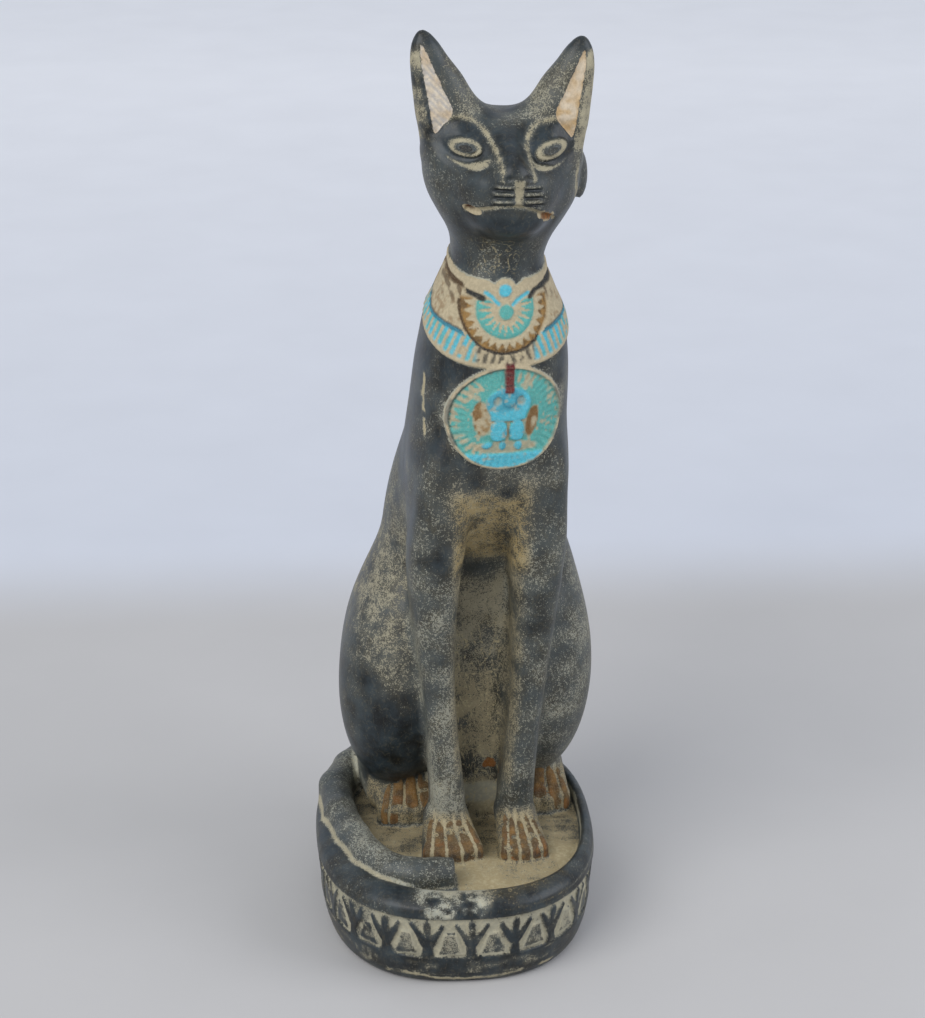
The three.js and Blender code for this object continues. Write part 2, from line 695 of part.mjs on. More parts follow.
// Finer triangles stay at the face, the collar, the medallion and the paws.
function worth(p) {
  const z = (p[2] - floorZ) / unit;
  if (z < 0) return 1.6;
  if (z < 14 && p[1] < 12 * unit) return 2.5;
  if (p[1] > -4 * unit) return 1;
  if (z > 196) return 5;
  return z > 126 ? 3 : 1;
}

// The grid leaves three empty cells around the carving.
const cell = catHeight / cellsInHeight;
const margin = 3 * cell;
const low = [-Math.max(halfWidth, 46 * unit) - margin, -halfLength - margin, floorZ - 5 - margin];
const high = [
  Math.max(halfWidth, 50 * unit) + margin,
  Math.max(halfLength, 56 * unit) + margin,
  floorZ + catHeight + margin];
const rough = skin(carving, low, high, cell);
const joined = plinth().add(solid(flowers())).add(solid(rough)).getMesh();
const corners = Array.from({ length: joined.vertProperties.length / 3 },
  (_, i) => Array.from(joined.vertProperties.subarray(3 * i, 3 * i + 3)));
const sides = Array.from({ length: joined.triVerts.length / 3 },
  (_, i) => Array.from(joined.triVerts.subarray(3 * i, 3 * i + 3)));
const stone = thin(corners, sides, mostTriangles, worth);
for (const p of stone.points) if (Math.abs(p[2]) < 0.02) p[2] = 0;
const out = solid(stone).getMesh();
const geometry = new THREE.BufferGeometry();
geometry.setAttribute("position", new THREE.BufferAttribute(new Float32Array(out.vertProperties), 3));
geometry.setIndex(new THREE.BufferAttribute(new Uint32Array(out.triVerts), 1));
geometry.computeVertexNormals();

const material = new THREE.MeshStandardMaterial({ color: 0x2f3337, roughness: 0.55, metalness: 0 });
const figure = new THREE.Mesh(geometry, material);
figure.name = "bastet_cat_figure";

const group = new THREE.Group();
group.add(figure);
export default group;
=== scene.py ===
import math
from types import SimpleNamespace

import bpy
import numpy as np
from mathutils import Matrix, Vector


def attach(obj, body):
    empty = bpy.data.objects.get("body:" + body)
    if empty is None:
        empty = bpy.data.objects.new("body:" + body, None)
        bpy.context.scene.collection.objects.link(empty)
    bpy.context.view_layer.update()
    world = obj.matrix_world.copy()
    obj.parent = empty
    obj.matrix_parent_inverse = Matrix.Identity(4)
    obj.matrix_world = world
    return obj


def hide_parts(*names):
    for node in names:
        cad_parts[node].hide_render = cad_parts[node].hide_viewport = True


# Seated cat of dark soapstone on an oval plinth, carved in one piece, with beige dust rubbed into the
# recesses and a painted collar and medallion. Forms are worked out in millimetres and stored in metres.
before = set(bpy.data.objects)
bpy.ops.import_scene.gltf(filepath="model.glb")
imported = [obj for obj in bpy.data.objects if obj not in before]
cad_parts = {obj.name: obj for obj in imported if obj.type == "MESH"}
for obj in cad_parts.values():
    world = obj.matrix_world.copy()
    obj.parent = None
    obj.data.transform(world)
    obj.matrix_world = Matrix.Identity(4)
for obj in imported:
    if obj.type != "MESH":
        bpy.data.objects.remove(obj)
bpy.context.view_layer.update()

plinthSizes = {
    "length": 109.0, "width": 85.4,  # outline of the frieze
    "footBand": 10.3, "frieze": 14.0, "rim": 5.2,  # heights, from the table up
    "footInset": 4.0,  # how far the foot band draws in at the table
    "rimFlare": 1.2, "friezeDepth": 0.9, "trayDepth": 4.0,
    "rimLeft": 8.2, "rimRight": 3.4, "rimFront": 9.8, "rimBack": 6.6,  # widths of the rolled rim
    "fullness": 2.5,  # 2 is an ellipse, more is squarer
}
catSizes = {
    "height": 252.4,
    "shift": 7.6, "turn": 6.0, "lean": 0.046,  # towards +X, in degrees, and sideways per mm of height
    "headShift": 5.6, "headTurn": 0.06, "headRoll": 0.05,  # the last two in mm per mm
    "tailRadius": 5.5,
}
mm = 0.001
drawnHeight = 252.4  # the profiles below are drawn on a cat this many units tall
plinthHeight = plinthSizes["footBand"] + plinthSizes["frieze"] + plinthSizes["rim"]
friezeTop = plinthSizes["footBand"] + plinthSizes["frieze"]
floorZ = plinthHeight - plinthSizes["trayDepth"]
halfWidth = plinthSizes["width"] / 2
halfLength = plinthSizes["length"] / 2
flare = plinthSizes["rimFlare"] * 0.7
unit = catSizes["height"] / drawnHeight
turnCos = math.cos(math.radians(catSizes["turn"]))
turnSin = math.sin(math.radians(catSizes["turn"]))


# Smooth step from 0 at start to 1 at end: three squares less two cubes of the share between them.
def ease(start, end, v):
    t = np.clip((v - start) / (end - start), 0, 1)
    return t * t * (3 - 2 * t)


# Straight blend from a to b as t goes from 0 to 1.
def mix(a, b, t):
    return a + (b - a) * t


# Rounded union: the smaller distance, less h*h*r/4, where h is 1 for equal distances and falls to 0
# where they are r apart.
def join(a, b, r):
    h = np.maximum(r - np.abs(a - b), 0) / r
    return np.minimum(a, b) - h * h * r / 4


# Rounded overlap: the union of the two outsides, turned inside out.
def keep(a, b, r):
    return -join(-a, -b, r)


# Smooth curve through pairs of place and value: cubic Hermite pieces with slopes from the neighbours.
def profile(*pairs):
    t, v = np.array(pairs, float).T
    h = np.diff(t)
    slope = np.empty_like(v)
    slope[0], slope[-1] = (v[1] - v[0]) / h[0], (v[-1] - v[-2]) / h[-1]
    a, b = h[:-1], h[1:]
    slope[1:-1] = (a * a * v[2:] + (b * b - a * a) * v[1:-1] - b * b * v[:-2]) / (a * b * (a + b))

    def at(x):
        x = np.clip(x, t[0], t[-1])
        i = np.clip(np.searchsorted(t, x, side="right") - 1, 0, len(h) - 1)
        u = (x - t[i]) / h[i]
        u2, u3 = u * u, u * u * u
        return ((2 * u3 - 3 * u2 + 1) * v[i] + (u3 - 2 * u2 + u) * h[i] * slope[i]
                + (3 * u2 - 2 * u3) * v[i + 1] + (u3 - u2) * h[i] * slope[i + 1])
    return at


# Distance to an ellipsoid: k (k - 1) / l, with k the length of place over radius and l that of place
# over radius squared.
def ball(x, y, z, c, r):
    u, v, w = (x - c[0]) / r[0], (y - c[1]) / r[1], (z - c[2]) / r[2]
    k = np.sqrt(u * u + v * v + w * w) + 1e-9
    return k * (k - 1) / (np.sqrt((u / r[0]) ** 2 + (v / r[1]) ** 2 + (w / r[2]) ** 2) + 1e-9)


# Distance to a rod that tapers from a to b: to the nearest point of its axis, less the radius there.
def rod(x, y, z, a, b, ra, rb):
    d = np.subtract(b, a)
    px, py, pz = x - a[0], y - a[1], z - a[2]
    t = np.clip((px * d[0] + py * d[1] + pz * d[2]) / (d @ d), 0, 1)
    return np.sqrt((px - t * d[0]) ** 2 + (py - t * d[1]) ** 2 + (pz - t * d[2]) ** 2) - mix(ra, rb, t)


# Distance to an oval |x/a|^n + |y/b|^n = 1: the n-th root of the sum less 1, over the root's slope.
def oval(x, y, a, b, n):
    u, v = np.abs(x / a) + 1e-6, np.abs(y / b) + 1e-6
    un, vn = u ** (n - 1), v ** (n - 1)
    s = un * u + vn * v
    rho = s ** (1 / n)
    return (rho - 1) * s / (rho * np.hypot(un / a, vn / b))


# Flat distance to a line through points, for strokes that are cut or painted.
def stroke(u, v, *points):
    d = 1e3
    for a, b in zip(points[:-1], points[1:]):
        e = np.subtract(b, a)
        t = np.clip(((u - a[0]) * e[0] + (v - a[1]) * e[1]) / (e @ e), 0, 1)
        d = np.minimum(d, np.hypot(u - a[0] - t * e[0], v - a[1] - t * e[1]))
    return d


# Distance from the middle of a tilted ellipse, counted in its half sizes: 1 on its edge.
def spot(u, v, cu, cv, ru, rv, tilt=0.0):
    c, s = math.cos(math.radians(tilt)), math.sin(math.radians(tilt))
    p, q = (u - cu) * c + (v - cv) * s, (v - cv) * c - (u - cu) * s
    return np.hypot(p / ru, q / rv)


# Stripes that repeat once per unit of u: 1 nearer than narrow to a stripe's middle, 0 beyond wide.
def stripes(u, wide, narrow):
    return ease(wide, narrow, np.abs(u % 1 - 0.5))


# Smooth noise from 0 to 1 with lumps of the given size in mm: hashed lattice values, blended between.
def lumps(x, y, z, size, seed):
    p = np.stack([x, y, z], -1) / size + 100.5 + seed * 7.31
    i = np.floor(p).astype(np.int64)
    f = p - i
    f = f * f * (3 - 2 * f)
    total = 0
    for c in range(8):
        o = np.array([c & 1, c >> 1 & 1, c >> 2])
        k = (i + o) @ np.array([73856093, 19349663, 83492791])
        k = (k ^ (k >> 13)) * 1274126177 & 0x7FFFFFFF
        w = np.prod(np.where(o, f, 1 - f), -1)
        total = total + w * ((k ^ (k >> 15)) & 0xFFFF) / 65535
    return total


# Body of the cat: half width, front, back and forelegs over the height above the plinth's floor.
torsoWidth = profile(
    (-6, 24), (34, 25.5), (94, 25.7), (118, 24.2), (140, 23.0), (161, 21.5), (170, 19.9), (179, 15.8),
    (185.5, 13.3), (191.5, 13.1), (210, 13.2), (225, 12.6))
torsoFront = profile(
    (-6, 21), (34, 18), (74, 10), (92, -4), (106, -13), (120, -20.3), (134, -23.4), (152, -24),
    (164, -22.4), (178, -18), (188, -15.3), (215, -14))
torsoBack = profile(
    (-6, 50), (20, 52.3), (44, 51.8), (74, 46.5), (104, 37.5), (140, 27), (170, 19.2), (190, 15.6),
    (225, 15))
legPlace = profile(
    (-6, 10.7), (15, 10.9), (36, 12.6), (54, 14.1), (72, 15.1), (89, 15.5), (100, 15.3), (115, 14.6),
    (135, 13.5))
legWidth = profile(
    (-6, 5.2), (15, 5.3), (36, 4.9), (54, 5.2), (72, 6.3), (89, 7.6), (100, 8.4), (115, 8.4), (135, 8))
legMiddle = profile((-6, -5.5), (36, -6), (72, -7.5), (100, -10), (135, -11))
legDepth = profile((-6, 8), (36, 8), (72, 9), (100, 10), (135, 11.3))
bodySizes = {
    "neckTop": 220, "belly": (0.5, 19, 96.5), "bellyRadii": (26.2, 20, 46),
    "shoulder": 138.5,  # where the forelegs end in the chest
    # stone behind the forelegs: half width, middle and half depth, top, rounding
    "wall": (14, 14, 12, 96.5, 3), "sole": (23, 21, 11, 8.5, 2),
    "legsUpright": 92.5,  # the forelegs stand upright to here and lean with the body above
}


# An oval at each height through the profiles, joined to a round belly.
def torso(x, y, z):
    front, back = torsoFront(z), torsoBack(z)
    d = oval(x, y - (front + back) / 2, torsoWidth(z), (back - front) / 2, 2.35)
    d = keep(keep(d, z - bodySizes["neckTop"], 4), -6 - z, 2)
    return join(d, ball(x, y, z, bodySizes["belly"], bodySizes["bellyRadii"]), 6)


# A squarish oval at each height on either side, with a wall and a low sole of stone behind the pair.
def legs(x, y, z):
    side = np.abs(x)
    d = oval(side - legPlace(z), y - legMiddle(z), legWidth(z), legDepth(z), 2.9)
    d = keep(d, z - bodySizes["shoulder"], 16)
    for name in ("wall", "sole"):
        wide, middle, deep, top, soft = bodySizes[name]
        d = join(d, keep(keep(side - wide, np.abs(y - middle) - deep, 2), z - top, soft), 2.5)
    return keep(d, -6 - z, 2)


# Four toes fan out from the ankle and stand on the floor without a gap below. Each paw: place from the
# middle line, spread of the toes, y of ankle and toes, heights, radii.
paws = {
    "foreRight": (11.6, 6.7, -6.5, -22.5, 7.4, 2.5, 4.3, 2.9),
    "foreLeft": (10.2, 5.1, -6.5, -25.0, 7.4, 2.5, 4.1, 2.7),
    "hind": (20.6, 6.3, 11.0, 4.0, 10.5, 4.2, 7.2, 4.2),
}


def paw(x, y, z, shape):
    place, spread, start, end, high, low, ankle, toe = shape
    d = 1e3
    for t in (-1, -1 / 3, 1 / 3, 1):
        a = (place + t * spread * 0.4, start, high)
        b = (place + t * spread, end + 1.6 * abs(t), low)
        d = join(d, rod(x, y, np.maximum(z, low), a, b, ankle, toe), 0.7)
    return d + 0.55 * toeMarks(x, y, shape)[0]


# Grooves between the toes, and the toes themselves, each from 0 to 1.
def toeMarks(x, y, shape):
    place, spread, start, end = shape[:4]
    along = (start - y) / (start - end)
    wide = spread * mix(0.4, 1, np.clip(along, 0, 1.3))
    across = (x - place) / wide
    reach = ease(-0.05, 0.15, along) * ease(1.5, 1.3, along)
    groove = ease(0.75, 0.2, np.abs((across * 1.5) % 1 - 0.5) * wide / 1.5) * (np.abs(across) < 1.1)
    return groove * reach, ease(1.55, 1.35, np.abs(across)) * reach * (1 - groove)


# Haunch: middle and radii of thigh and knee, ends and radii of the foot, and the thigh's tilt as the
# cosine and sine of 9 degrees.
haunchForms = {
    "thigh": ((20.3, 22.5, 48.5), (17.8, 26, 46)), "knee": ((22.6, 9, 44), (14.6, 13, 28)),
    "foot": ((23.5, 34, 5.5), (23, 13, 7.5), 8.5, 8.2), "tilt": (0.9877, 0.1564),
}


# A tipped ellipsoid on either side, joined to a rounder one at the knee and a rod along the foot.
def haunch(x, y, z):
    side = np.abs(x)
    middle, radii = haunchForms["thigh"]
    c, s = haunchForms["tilt"]
    py, pz = y - middle[1], z - middle[2]
    d = ball(side - middle[0], py * c + pz * s, pz * c - py * s, (0, 0, 0), radii)
    d = join(d, ball(side, y, z, *haunchForms["knee"]), 12)
    return join(d, rod(side, y, z, *haunchForms["foot"]), 5)


# Head, measured from the level of the cheeks. The face turns a little to the cat's left.
cheekHeight = 214.5
skullWidth = profile(
    (-26, 11), (-18, 16), (-13.5, 18.6), (-8.7, 21), (-3.4, 22.3), (0, 22.4), (5, 21.9), (10, 20.8),
    (14, 18.2), (16.8, 13))
skullFront = profile((-26, -13), (-18, -18.5), (-12, -22), (-3, -24), (5, -22.5), (10, -19.5), (16.8, -9))
skullBack = profile((-26, 12), (-10, 16), (0, 17.2), (8, 15.4), (16.8, 6))
earPlace = profile((5, 14.2), (10, 14.9), (19, 16.6), (24, 18), (30, 20.4), (37.2, 22.2))
earWidth = profile((5, 7.8), (12, 8.8), (19, 8.3), (24, 7.4), (30, 5.2), (34, 3.4), (37.2, 1.0))
earDepth = profile((5, 9), (12, 8.2), (24, 5.4), (34, 2.7), (37.2, 0.9))
headForms = {
    "crown": 15, "jaw": -26, "earTip": 37, "earMiddle": -5.5,
    "muzzle": ((0, -21.6, -2.9), (11.8, 9.6, 8.6)), "chin": ((0, -19.7, -11.3), (9, 8.4, 6)),
    "bridge": ((0, -11.5, 7), (0, -27.4, 3.6), 6.2, 3.8), "noseTip": ((0, -28.6, 2.5), (4.5, 3.4, 3)),
    "lobe": ((22.4, 0, -3.4), (2.6, 5, 7.2)),
}
panelInner = profile((10, 18.6), (15.5, 14.5), (22, 17.0), (27, 19.3), (31, 21.2), (33.5, 22.5))
panelOuter = profile((9.5, 19.3), (15.6, 20.4), (21.5, 21.4), (25.6, 22.2), (30, 22.8), (33.5, 22.9))
browLine = (
    (17.6, 12.9), (15.6, 14.7), (12.8, 14.9), (9.9, 14.2), (7.3, 12.7), (5.5, 10.6), (4.6, 8.5), (4.3, 6.3),
    (4.4, 4), (4.6, 1.6))
# Spots of the face: middle across and up, half sizes, tilt in degrees. Pairs are left and right as seen.
faceSpots = {
    "eye": ((-11.6, 7.5, 4.35, 2.35), (12.4, 7.5, 4.9, 2.3, 13)),
    "pupil": ((-11.7, 7.6, 2.75, 1.3), (12.4, 7.8, 2.9, 1.2, 13)),
    "socket": (11.9, 8.6, 8.6, 6.6), "nostril": (2.6, 2.3, 1.2, 0.6, -20), "nose": (1.3, 2.9, 2.0, 1.5),
    "corner": (-10.4, -8.6, 2.4, 1.35, -10), "hole": (-10.7, -8.2, 1.15, 0.75),
    "rust": (10.4, -10.0, 2.6, 1.2, -30),
}
faceLines = {
    "nose": 1.45, "lips": 1.4, "lipHeight": -5.6,  # middle lines, and the height of the mouth there
    "bagHeight": 7.5, "bagDrop": 4.6, "bagReach": 7.2,  # the pads under the eyes are half ellipses
    "ridgePitch": 2.15,
}


# Place of a point on the head: across from its middle line, and up from the level of the cheeks.
def headPlace(x, y, z):
    px = x - catSizes["headShift"] + catSizes["headTurn"] * np.minimum(y + 12, 0)
    return px, z - cheekHeight + catSizes["headRoll"] * px


# Marks of the face seen from the front, each from 0 to 1: spots, and bands of a smooth width about a line.
def faceMarks(px, y, pz):
    side = np.abs(px - mix(0.4, 1.45, ease(11, 3, pz)))  # the nose's middle line slants
    front = ease(-8, -11, y)
    left = px < 0
    wander = lumps(px, y, pz, 2.2, 8) - 0.5
    m = {}

    def mark(name, start, end, v):
        m[name] = front * ease(start, end, v)

    def pair(name):
        return np.where(left, *[spot(px, pz, *place) for place in faceSpots[name]])

    # eyes, the pads below them, sockets and brows
    pupil = pair("pupil")
    mark("eye", 1.12, 0.9, pair("eye"))
    mark("pupil", 1.2, 0.85, pupil)
    m["ring"] = m["eye"] * (1 - m["pupil"])
    m["core"] = front * ease(0.8, 0.55, pupil) * np.where(left, 1, 0.6)
    along = np.where(left, px + 11.2, 11.5 - px)  # towards the nose
    hang = np.sqrt(np.clip(1 - (along / faceLines["bagReach"]) ** 2, 0.02, 1))
    bag = pz - faceLines["bagHeight"] + faceLines["bagDrop"] * hang - 0.075 * np.maximum(along, 0)
    thick = mix(0.3, 0.85, ease(-5.5, 3.0, along)) * np.where(left, 1, 0.7) + 0.3 * wander
    mark("bag", thick + 0.35, thick - 0.45, np.abs(bag))
    m["bag"] = m["bag"] * ease(-6.0, -5.0, along) * ease(6.8, 4.4, along)
    mark("bagEnd", 2.2, 0.6, np.hypot(along - 6.6, (pz - 4.8) / 1.2))
    mark("socket", 1.3, 0.72, spot(side, pz, *faceSpots["socket"]))
    wide = mix(0.25, 0.62, ease(2, 9, pz)) * mix(1, 0.75, ease(12, 17, side))
    mark("brow", wide + 1.0, wide - 0.8, stroke(side, pz, *browLine) + 0.7 * wander)
    # bar below the nose, and three whisker ridges with grooves above and below
    bar = np.abs(px - faceLines["nose"]) - mix(1.05, 1.45, ease(-5, 2, pz))
    m["philtrum"] = front * ease(0.35, -0.3, bar) * ease(2.3, 1.5, pz) * ease(-6.6, -5.6, pz)
    row = (pz + 0.9 + 0.06 * side) / faceLines["ridgePitch"]
    rows = ease(0.75, 0.45, row) * ease(-2.6, -2.3, row)
    rows = rows * ease(1.2, 1.9, side) * ease(7.6, 5.6, side + 0.3 * row)
    m["ridge"] = front * rows * stripes(row, 0.3, 0.14)
    m["whisker"] = front * rows * stripes(row + 0.5, 0.3, 0.14)
    # mouth: two arcs that fall to either side, the right one more steeply
    out = px - faceLines["lips"]
    lip = faceLines["lipHeight"] - np.where(out < 0, 0.0215 * out ** 2, 0.17 * out + 0.031 * out ** 2)
    thick = mix(0.5, 0.7, ease(4, 9, np.abs(out))) + 0.35 * wander
    reach = ease(-12.4, -11.4, px) * ease(14.2, 13.0, px)
    m["lip"] = front * ease(0.8, 0.3, np.abs(pz - lip - 0.9)) * reach
    m["mouth"] = front * ease(thick + 0.3, thick - 0.3, np.abs(pz - lip)) * reach
    rust = spot(px, pz, *faceSpots["rust"])
    mark("corner", 1.2, 0.8, spot(px, pz, *faceSpots["corner"]) + 0.3 * wander)
    mark("hole", 1.2, 0.8, spot(px, pz, *faceSpots["hole"]))
    mark("rust", 1.2, 0.7, rust + 0.6 * wander)
    mark("rustEdge", 1.75, 1.3, rust + 0.5 * wander)
    mark("nostril", 1.25, 0.7, spot(side, pz, *faceSpots["nostril"]))
    # a pale spot on top of the nose: a painted highlight
    mark("noseHighlight", 1.4, 0.4, spot(px, pz, *faceSpots["nose"]))
    # ears: sunk panel, a groove along it, the dusty strip at the outer edge
    earSide = np.abs(px)
    inner, outer = earSide - panelInner(pz), panelOuter(pz) - earSide
    ears = ease(-5.5, -7, y) * ease(9.3, 9.9, pz + 0.25 * (earSide - 19))
    m["panel"] = ease(-0.2, 0.2, np.minimum(inner, outer)) * ease(33.8, 33.2, pz) * ears
    m["groove"] = ease(0.45, 0.1, np.abs(outer + 0.8)) * ease(27, 22, pz) * ears * np.where(left, 1, 0.4)
    m["inner"] = earSide - earPlace(pz) + earWidth(pz)  # distance from the ear's inner edge
    m["strip"] = ease(0.1, 0.5, -outer) * ease(3, 8, pz) * ease(36, 33, pz) * ease(-1, -5, y)
    return m


# Height of the face's relief in mm: each mark times its own height, sunk where that is negative.
faceHeights = {
    "socket": -1.4, "eye": 1.7, "ring": -0.5, "pupil": 0.3, "bag": 0.25, "brow": 0.35, "philtrum": -0.3,
    "ridge": 0.35, "whisker": -0.55, "mouth": -0.65, "lip": 0.35, "corner": -0.35, "hole": -0.9,
    "nostril": -0.4, "panel": -0.7, "groove": -0.35,
}


def faceRelief(px, y, pz):
    m = faceMarks(px, y, pz)
    return sum(high * m[name] for name, high in faceHeights.items())


# An oval at each height through the skull's profiles, joined to cup-shaped ears, muzzle, chin, nose and
# the lobe on the cat's left.
def head(x, y, z):
    px, pz = headPlace(x, y, z)
    side = np.abs(px)
    front, back = skullFront(pz), skullBack(pz)
    d = oval(px, y - (front + back) / 2, skullWidth(pz), (back - front) / 2, 2.1)
    d = keep(keep(d, pz - headForms["crown"], 8), headForms["jaw"] - pz, 3)
    cup = oval(side - earPlace(pz), y - headForms["earMiddle"], earWidth(pz), earDepth(pz), 2.2)
    cup = keep(keep(cup, pz - headForms["earTip"], 1.5), 2 - pz, 3)
    d = join(d, cup, mix(9, 4, ease(12, 18, side)))
    d = join(d, ball(px, y, pz, *headForms["muzzle"]), 7)
    d = join(d, ball(px, y, pz, *headForms["chin"]), 5)
    nose = join(rod(px, y, pz, *headForms["bridge"]), ball(px, y, pz, *headForms["noseTip"]), 2)
    d = join(d, nose, 4)
    near = (np.abs(d) < 4) & (y < -4)  # the marks are worked out only where they matter
    if near.any():
        d = d.copy()
        d[near] -= faceRelief(px[near], y[near], pz[near])
    return join(d, ball(px, y, pz, *headForms["lobe"]), 1.6)


# Collar and medallion. x runs across the chest and z up it, in mm on the cat. An edge is its height in
# front, its rise per mm towards the back, and the y of its front.
collar = {
    "edge": (159.9, 0.38, -23.0), "top": (183.4, 0.17, -17.0), "fan": (-0.4, 176.0), "ring": 12.5,
    "disc": (-0.5, 180.9, 1.8, 1.7), "heart": (-0.35, 175.1, 2.1, 2.1), "bossRadius": 3.2,
    "strokePitch": 2.35,
    "wing": (((-6.0, 180.3), (-4.4, 179.2), (-2.3, 177.2)), ((6.0, 179.8), (4.0, 178.8), (1.7, 177.0))),
    "cord": (((-12.0, 180.6), (-10.8, 180.2), (-8.2, 179.3), (-6.6, 178.7)),
             ((12.0, 181.3), (8.2, 180.2), (6.8, 178.6))),
}
medal = {
    "middle": (0.5, 144.7), "half": (17.0, 15.7), "rim": 0.85,
    "arms": (0.85, 149.5, 6.4, 4.7), "armGap": (3.5, 150.3, 1.15, 1.5, 20),
    "beetleHead": (0.95, 150.7, 2.0, 2.0),
    "dashes": ((-4.7, 136.9, 1.5, 1.0, 20), (-0.3, 136.6, 0.9, 1.3), (4.4, 136.4, 1.1, 1.3)),
    "patches": ((-6.6, 145.0, 2.6, 5.0, 6), (8.1, 143.6, 1.7, 4.6, -8)),
}
medalRadius = (medal["half"][0] + medal["half"][1]) / 2


# Height above the collar's lower or upper edge.
def aboveEdge(edge, y, z):
    return z - edge[0] - edge[1] * (y - edge[2])


# Distance from the medallion's middle, 1 on its edge.
def medalShare(x, z):
    return np.hypot((x - medal["middle"][0]) / medal["half"][0], (z - medal["middle"][1]) / medal["half"][1])


# Marks of the chest seen from the front, each from 0 to 1, and the places they are drawn from.
def chestMarks(x, y, z):
    m = {}
    lower = aboveEdge(collar["edge"], y, z)
    upper = aboveEdge(collar["top"], y, z) + 1.4 * ease(5.5, 2.5, np.abs(x)) * ease(-8, -12, y)
    boss = np.hypot(x - collar["disc"][0], z - collar["disc"][1]) - collar["bossRadius"]
    upper = np.where(y < -8, np.minimum(upper, boss), upper)
    front = ease(-6, -10, y)
    m["collar"] = ease(-0.35, 0.25, lower) * ease(0.3, -0.3, upper)
    m["lower"], m["upper"] = lower, upper
    fx, fz = x - collar["fan"][0], z - collar["fan"][1]
    m["radius"] = np.where(front > 0, np.hypot(fx, fz * 1.02), 99)
    m["angle"] = np.degrees(np.arctan2(fx, -fz))
    for name in ("disc", "heart"):
        m[name] = front * ease(1.1, 0.9, spot(x, z, *collar[name]))
    wing, cord = (np.minimum(*[stroke(x, z, *line) for line in collar[name]]) for name in ("wing", "cord"))
    m["wing"] = front * ease(0.7, 0.35, wing)
    cord = np.where((np.abs(x) > 11.5) | (y > -8), np.abs(upper + 2.6), cord)
    m["cord"] = ease(0.9, 0.5, cord - 0.3 * ease(8, 12, np.abs(x)) * (x > 0))
    rho = medalShare(x, z)
    m["rho"] = np.where(y < -4, rho, 9)
    m["medal"] = front * ease(0.2, -0.2, (rho - 1) * medalRadius)
    m["field"] = front * ease(0.2, -0.2, (rho - 1) * medalRadius + medal["rim"])
    red = ease(0.25, -0.25, np.abs(x - 0.8) - 1.35)
    m["red"] = front * red * ease(152.5, 153.1, z) * ease(161.4, 160.8, z)
    # the beetle: its raised forelegs and body, its head, the gaps beside that, and two lobes below
    arms = (spot(x, z, *medal["arms"]) - 1) * 5.2
    body = np.maximum(np.abs(x - 0.9) - 4.9, np.abs(z - 147) - 2.5)
    m["beetle"] = front * ease(0.3, -0.2, join(arms, body, 1.5))
    m["beetleHead"] = front * ease(1.1, 0.9, spot(x, z, *medal["beetleHead"]))
    gap = ease(1.15, 0.75, spot(np.abs(x - medal["beetleHead"][0]), z, *medal["armGap"]))
    m["armGap"] = front * gap * (m["beetleHead"] < 0.2)
    lobe = np.where(x < 1.1, np.abs((x + 1.7) / 2.45) ** 2.6, np.abs((x - 3.6) / 2.15) ** 2.6)
    m["lobe"] = front * ease(1.12, 0.88, lobe + np.abs((z - 141.2) / 3.0) ** 2.6)
    dash = np.minimum.reduce([spot(x, z, *place) for place in medal["dashes"]])
    m["dash"] = front * ease(1.15, 0.85, dash)
    m["segment"] = m["field"] * ease(134.4, 133.9, z)
    patch = np.minimum(*[spot(x, z, *place) for place in medal["patches"]])
    m["patch"] = front * ease(1.12, 0.9, patch)
    return m


# Strokes across the collar's outer band, and the wedges and spikes round its fan. A wave of the angle
# moves the radius at which each wedge begins.
def collarCuts(m, x, y, z):
    ring = (m["radius"] < collar["ring"]) & (z < 178.5)
    bandTop = mix(8.4, 6.4, ease(-17, -3, y))
    band = m["collar"] * (m["lower"] < bandTop) * ~ring
    run = np.where(np.abs(x) < 8, x, np.sign(x) * (8 + np.hypot(np.abs(x) - 8, y + 22)))
    lean = 0.35 * (m["lower"] - 4) * np.sign(x)
    strokes = stripes((run + lean) / collar["strokePitch"], 0.33, 0.2) * band
    strokes = strokes * ease(1.0, 1.7, m["lower"]) * ease(0.6, 1.2, bandTop - m["lower"])
    radius, angle = m["radius"], m["angle"]
    start = mix(3.9, 7.7, (np.abs((angle / 17 + 0.1) % 1 - 0.5) * 2) ** 1.3)
    wedges = ease(start - 0.25, start + 0.25, radius) * ease(8.5, 8.1, radius) * ease(178.6, 178.1, z)
    start = mix(9.2, 12.0, np.abs((angle / 12.4 + 0.04 * np.sin(angle)) % 1 - 0.5) * 2)
    spikes = ease(start - 0.3, start + 0.3, radius) * ease(12.7, 12.3, radius) * ease(179.5, 178.2, z)
    return band, bandTop, strokes, wedges, spikes


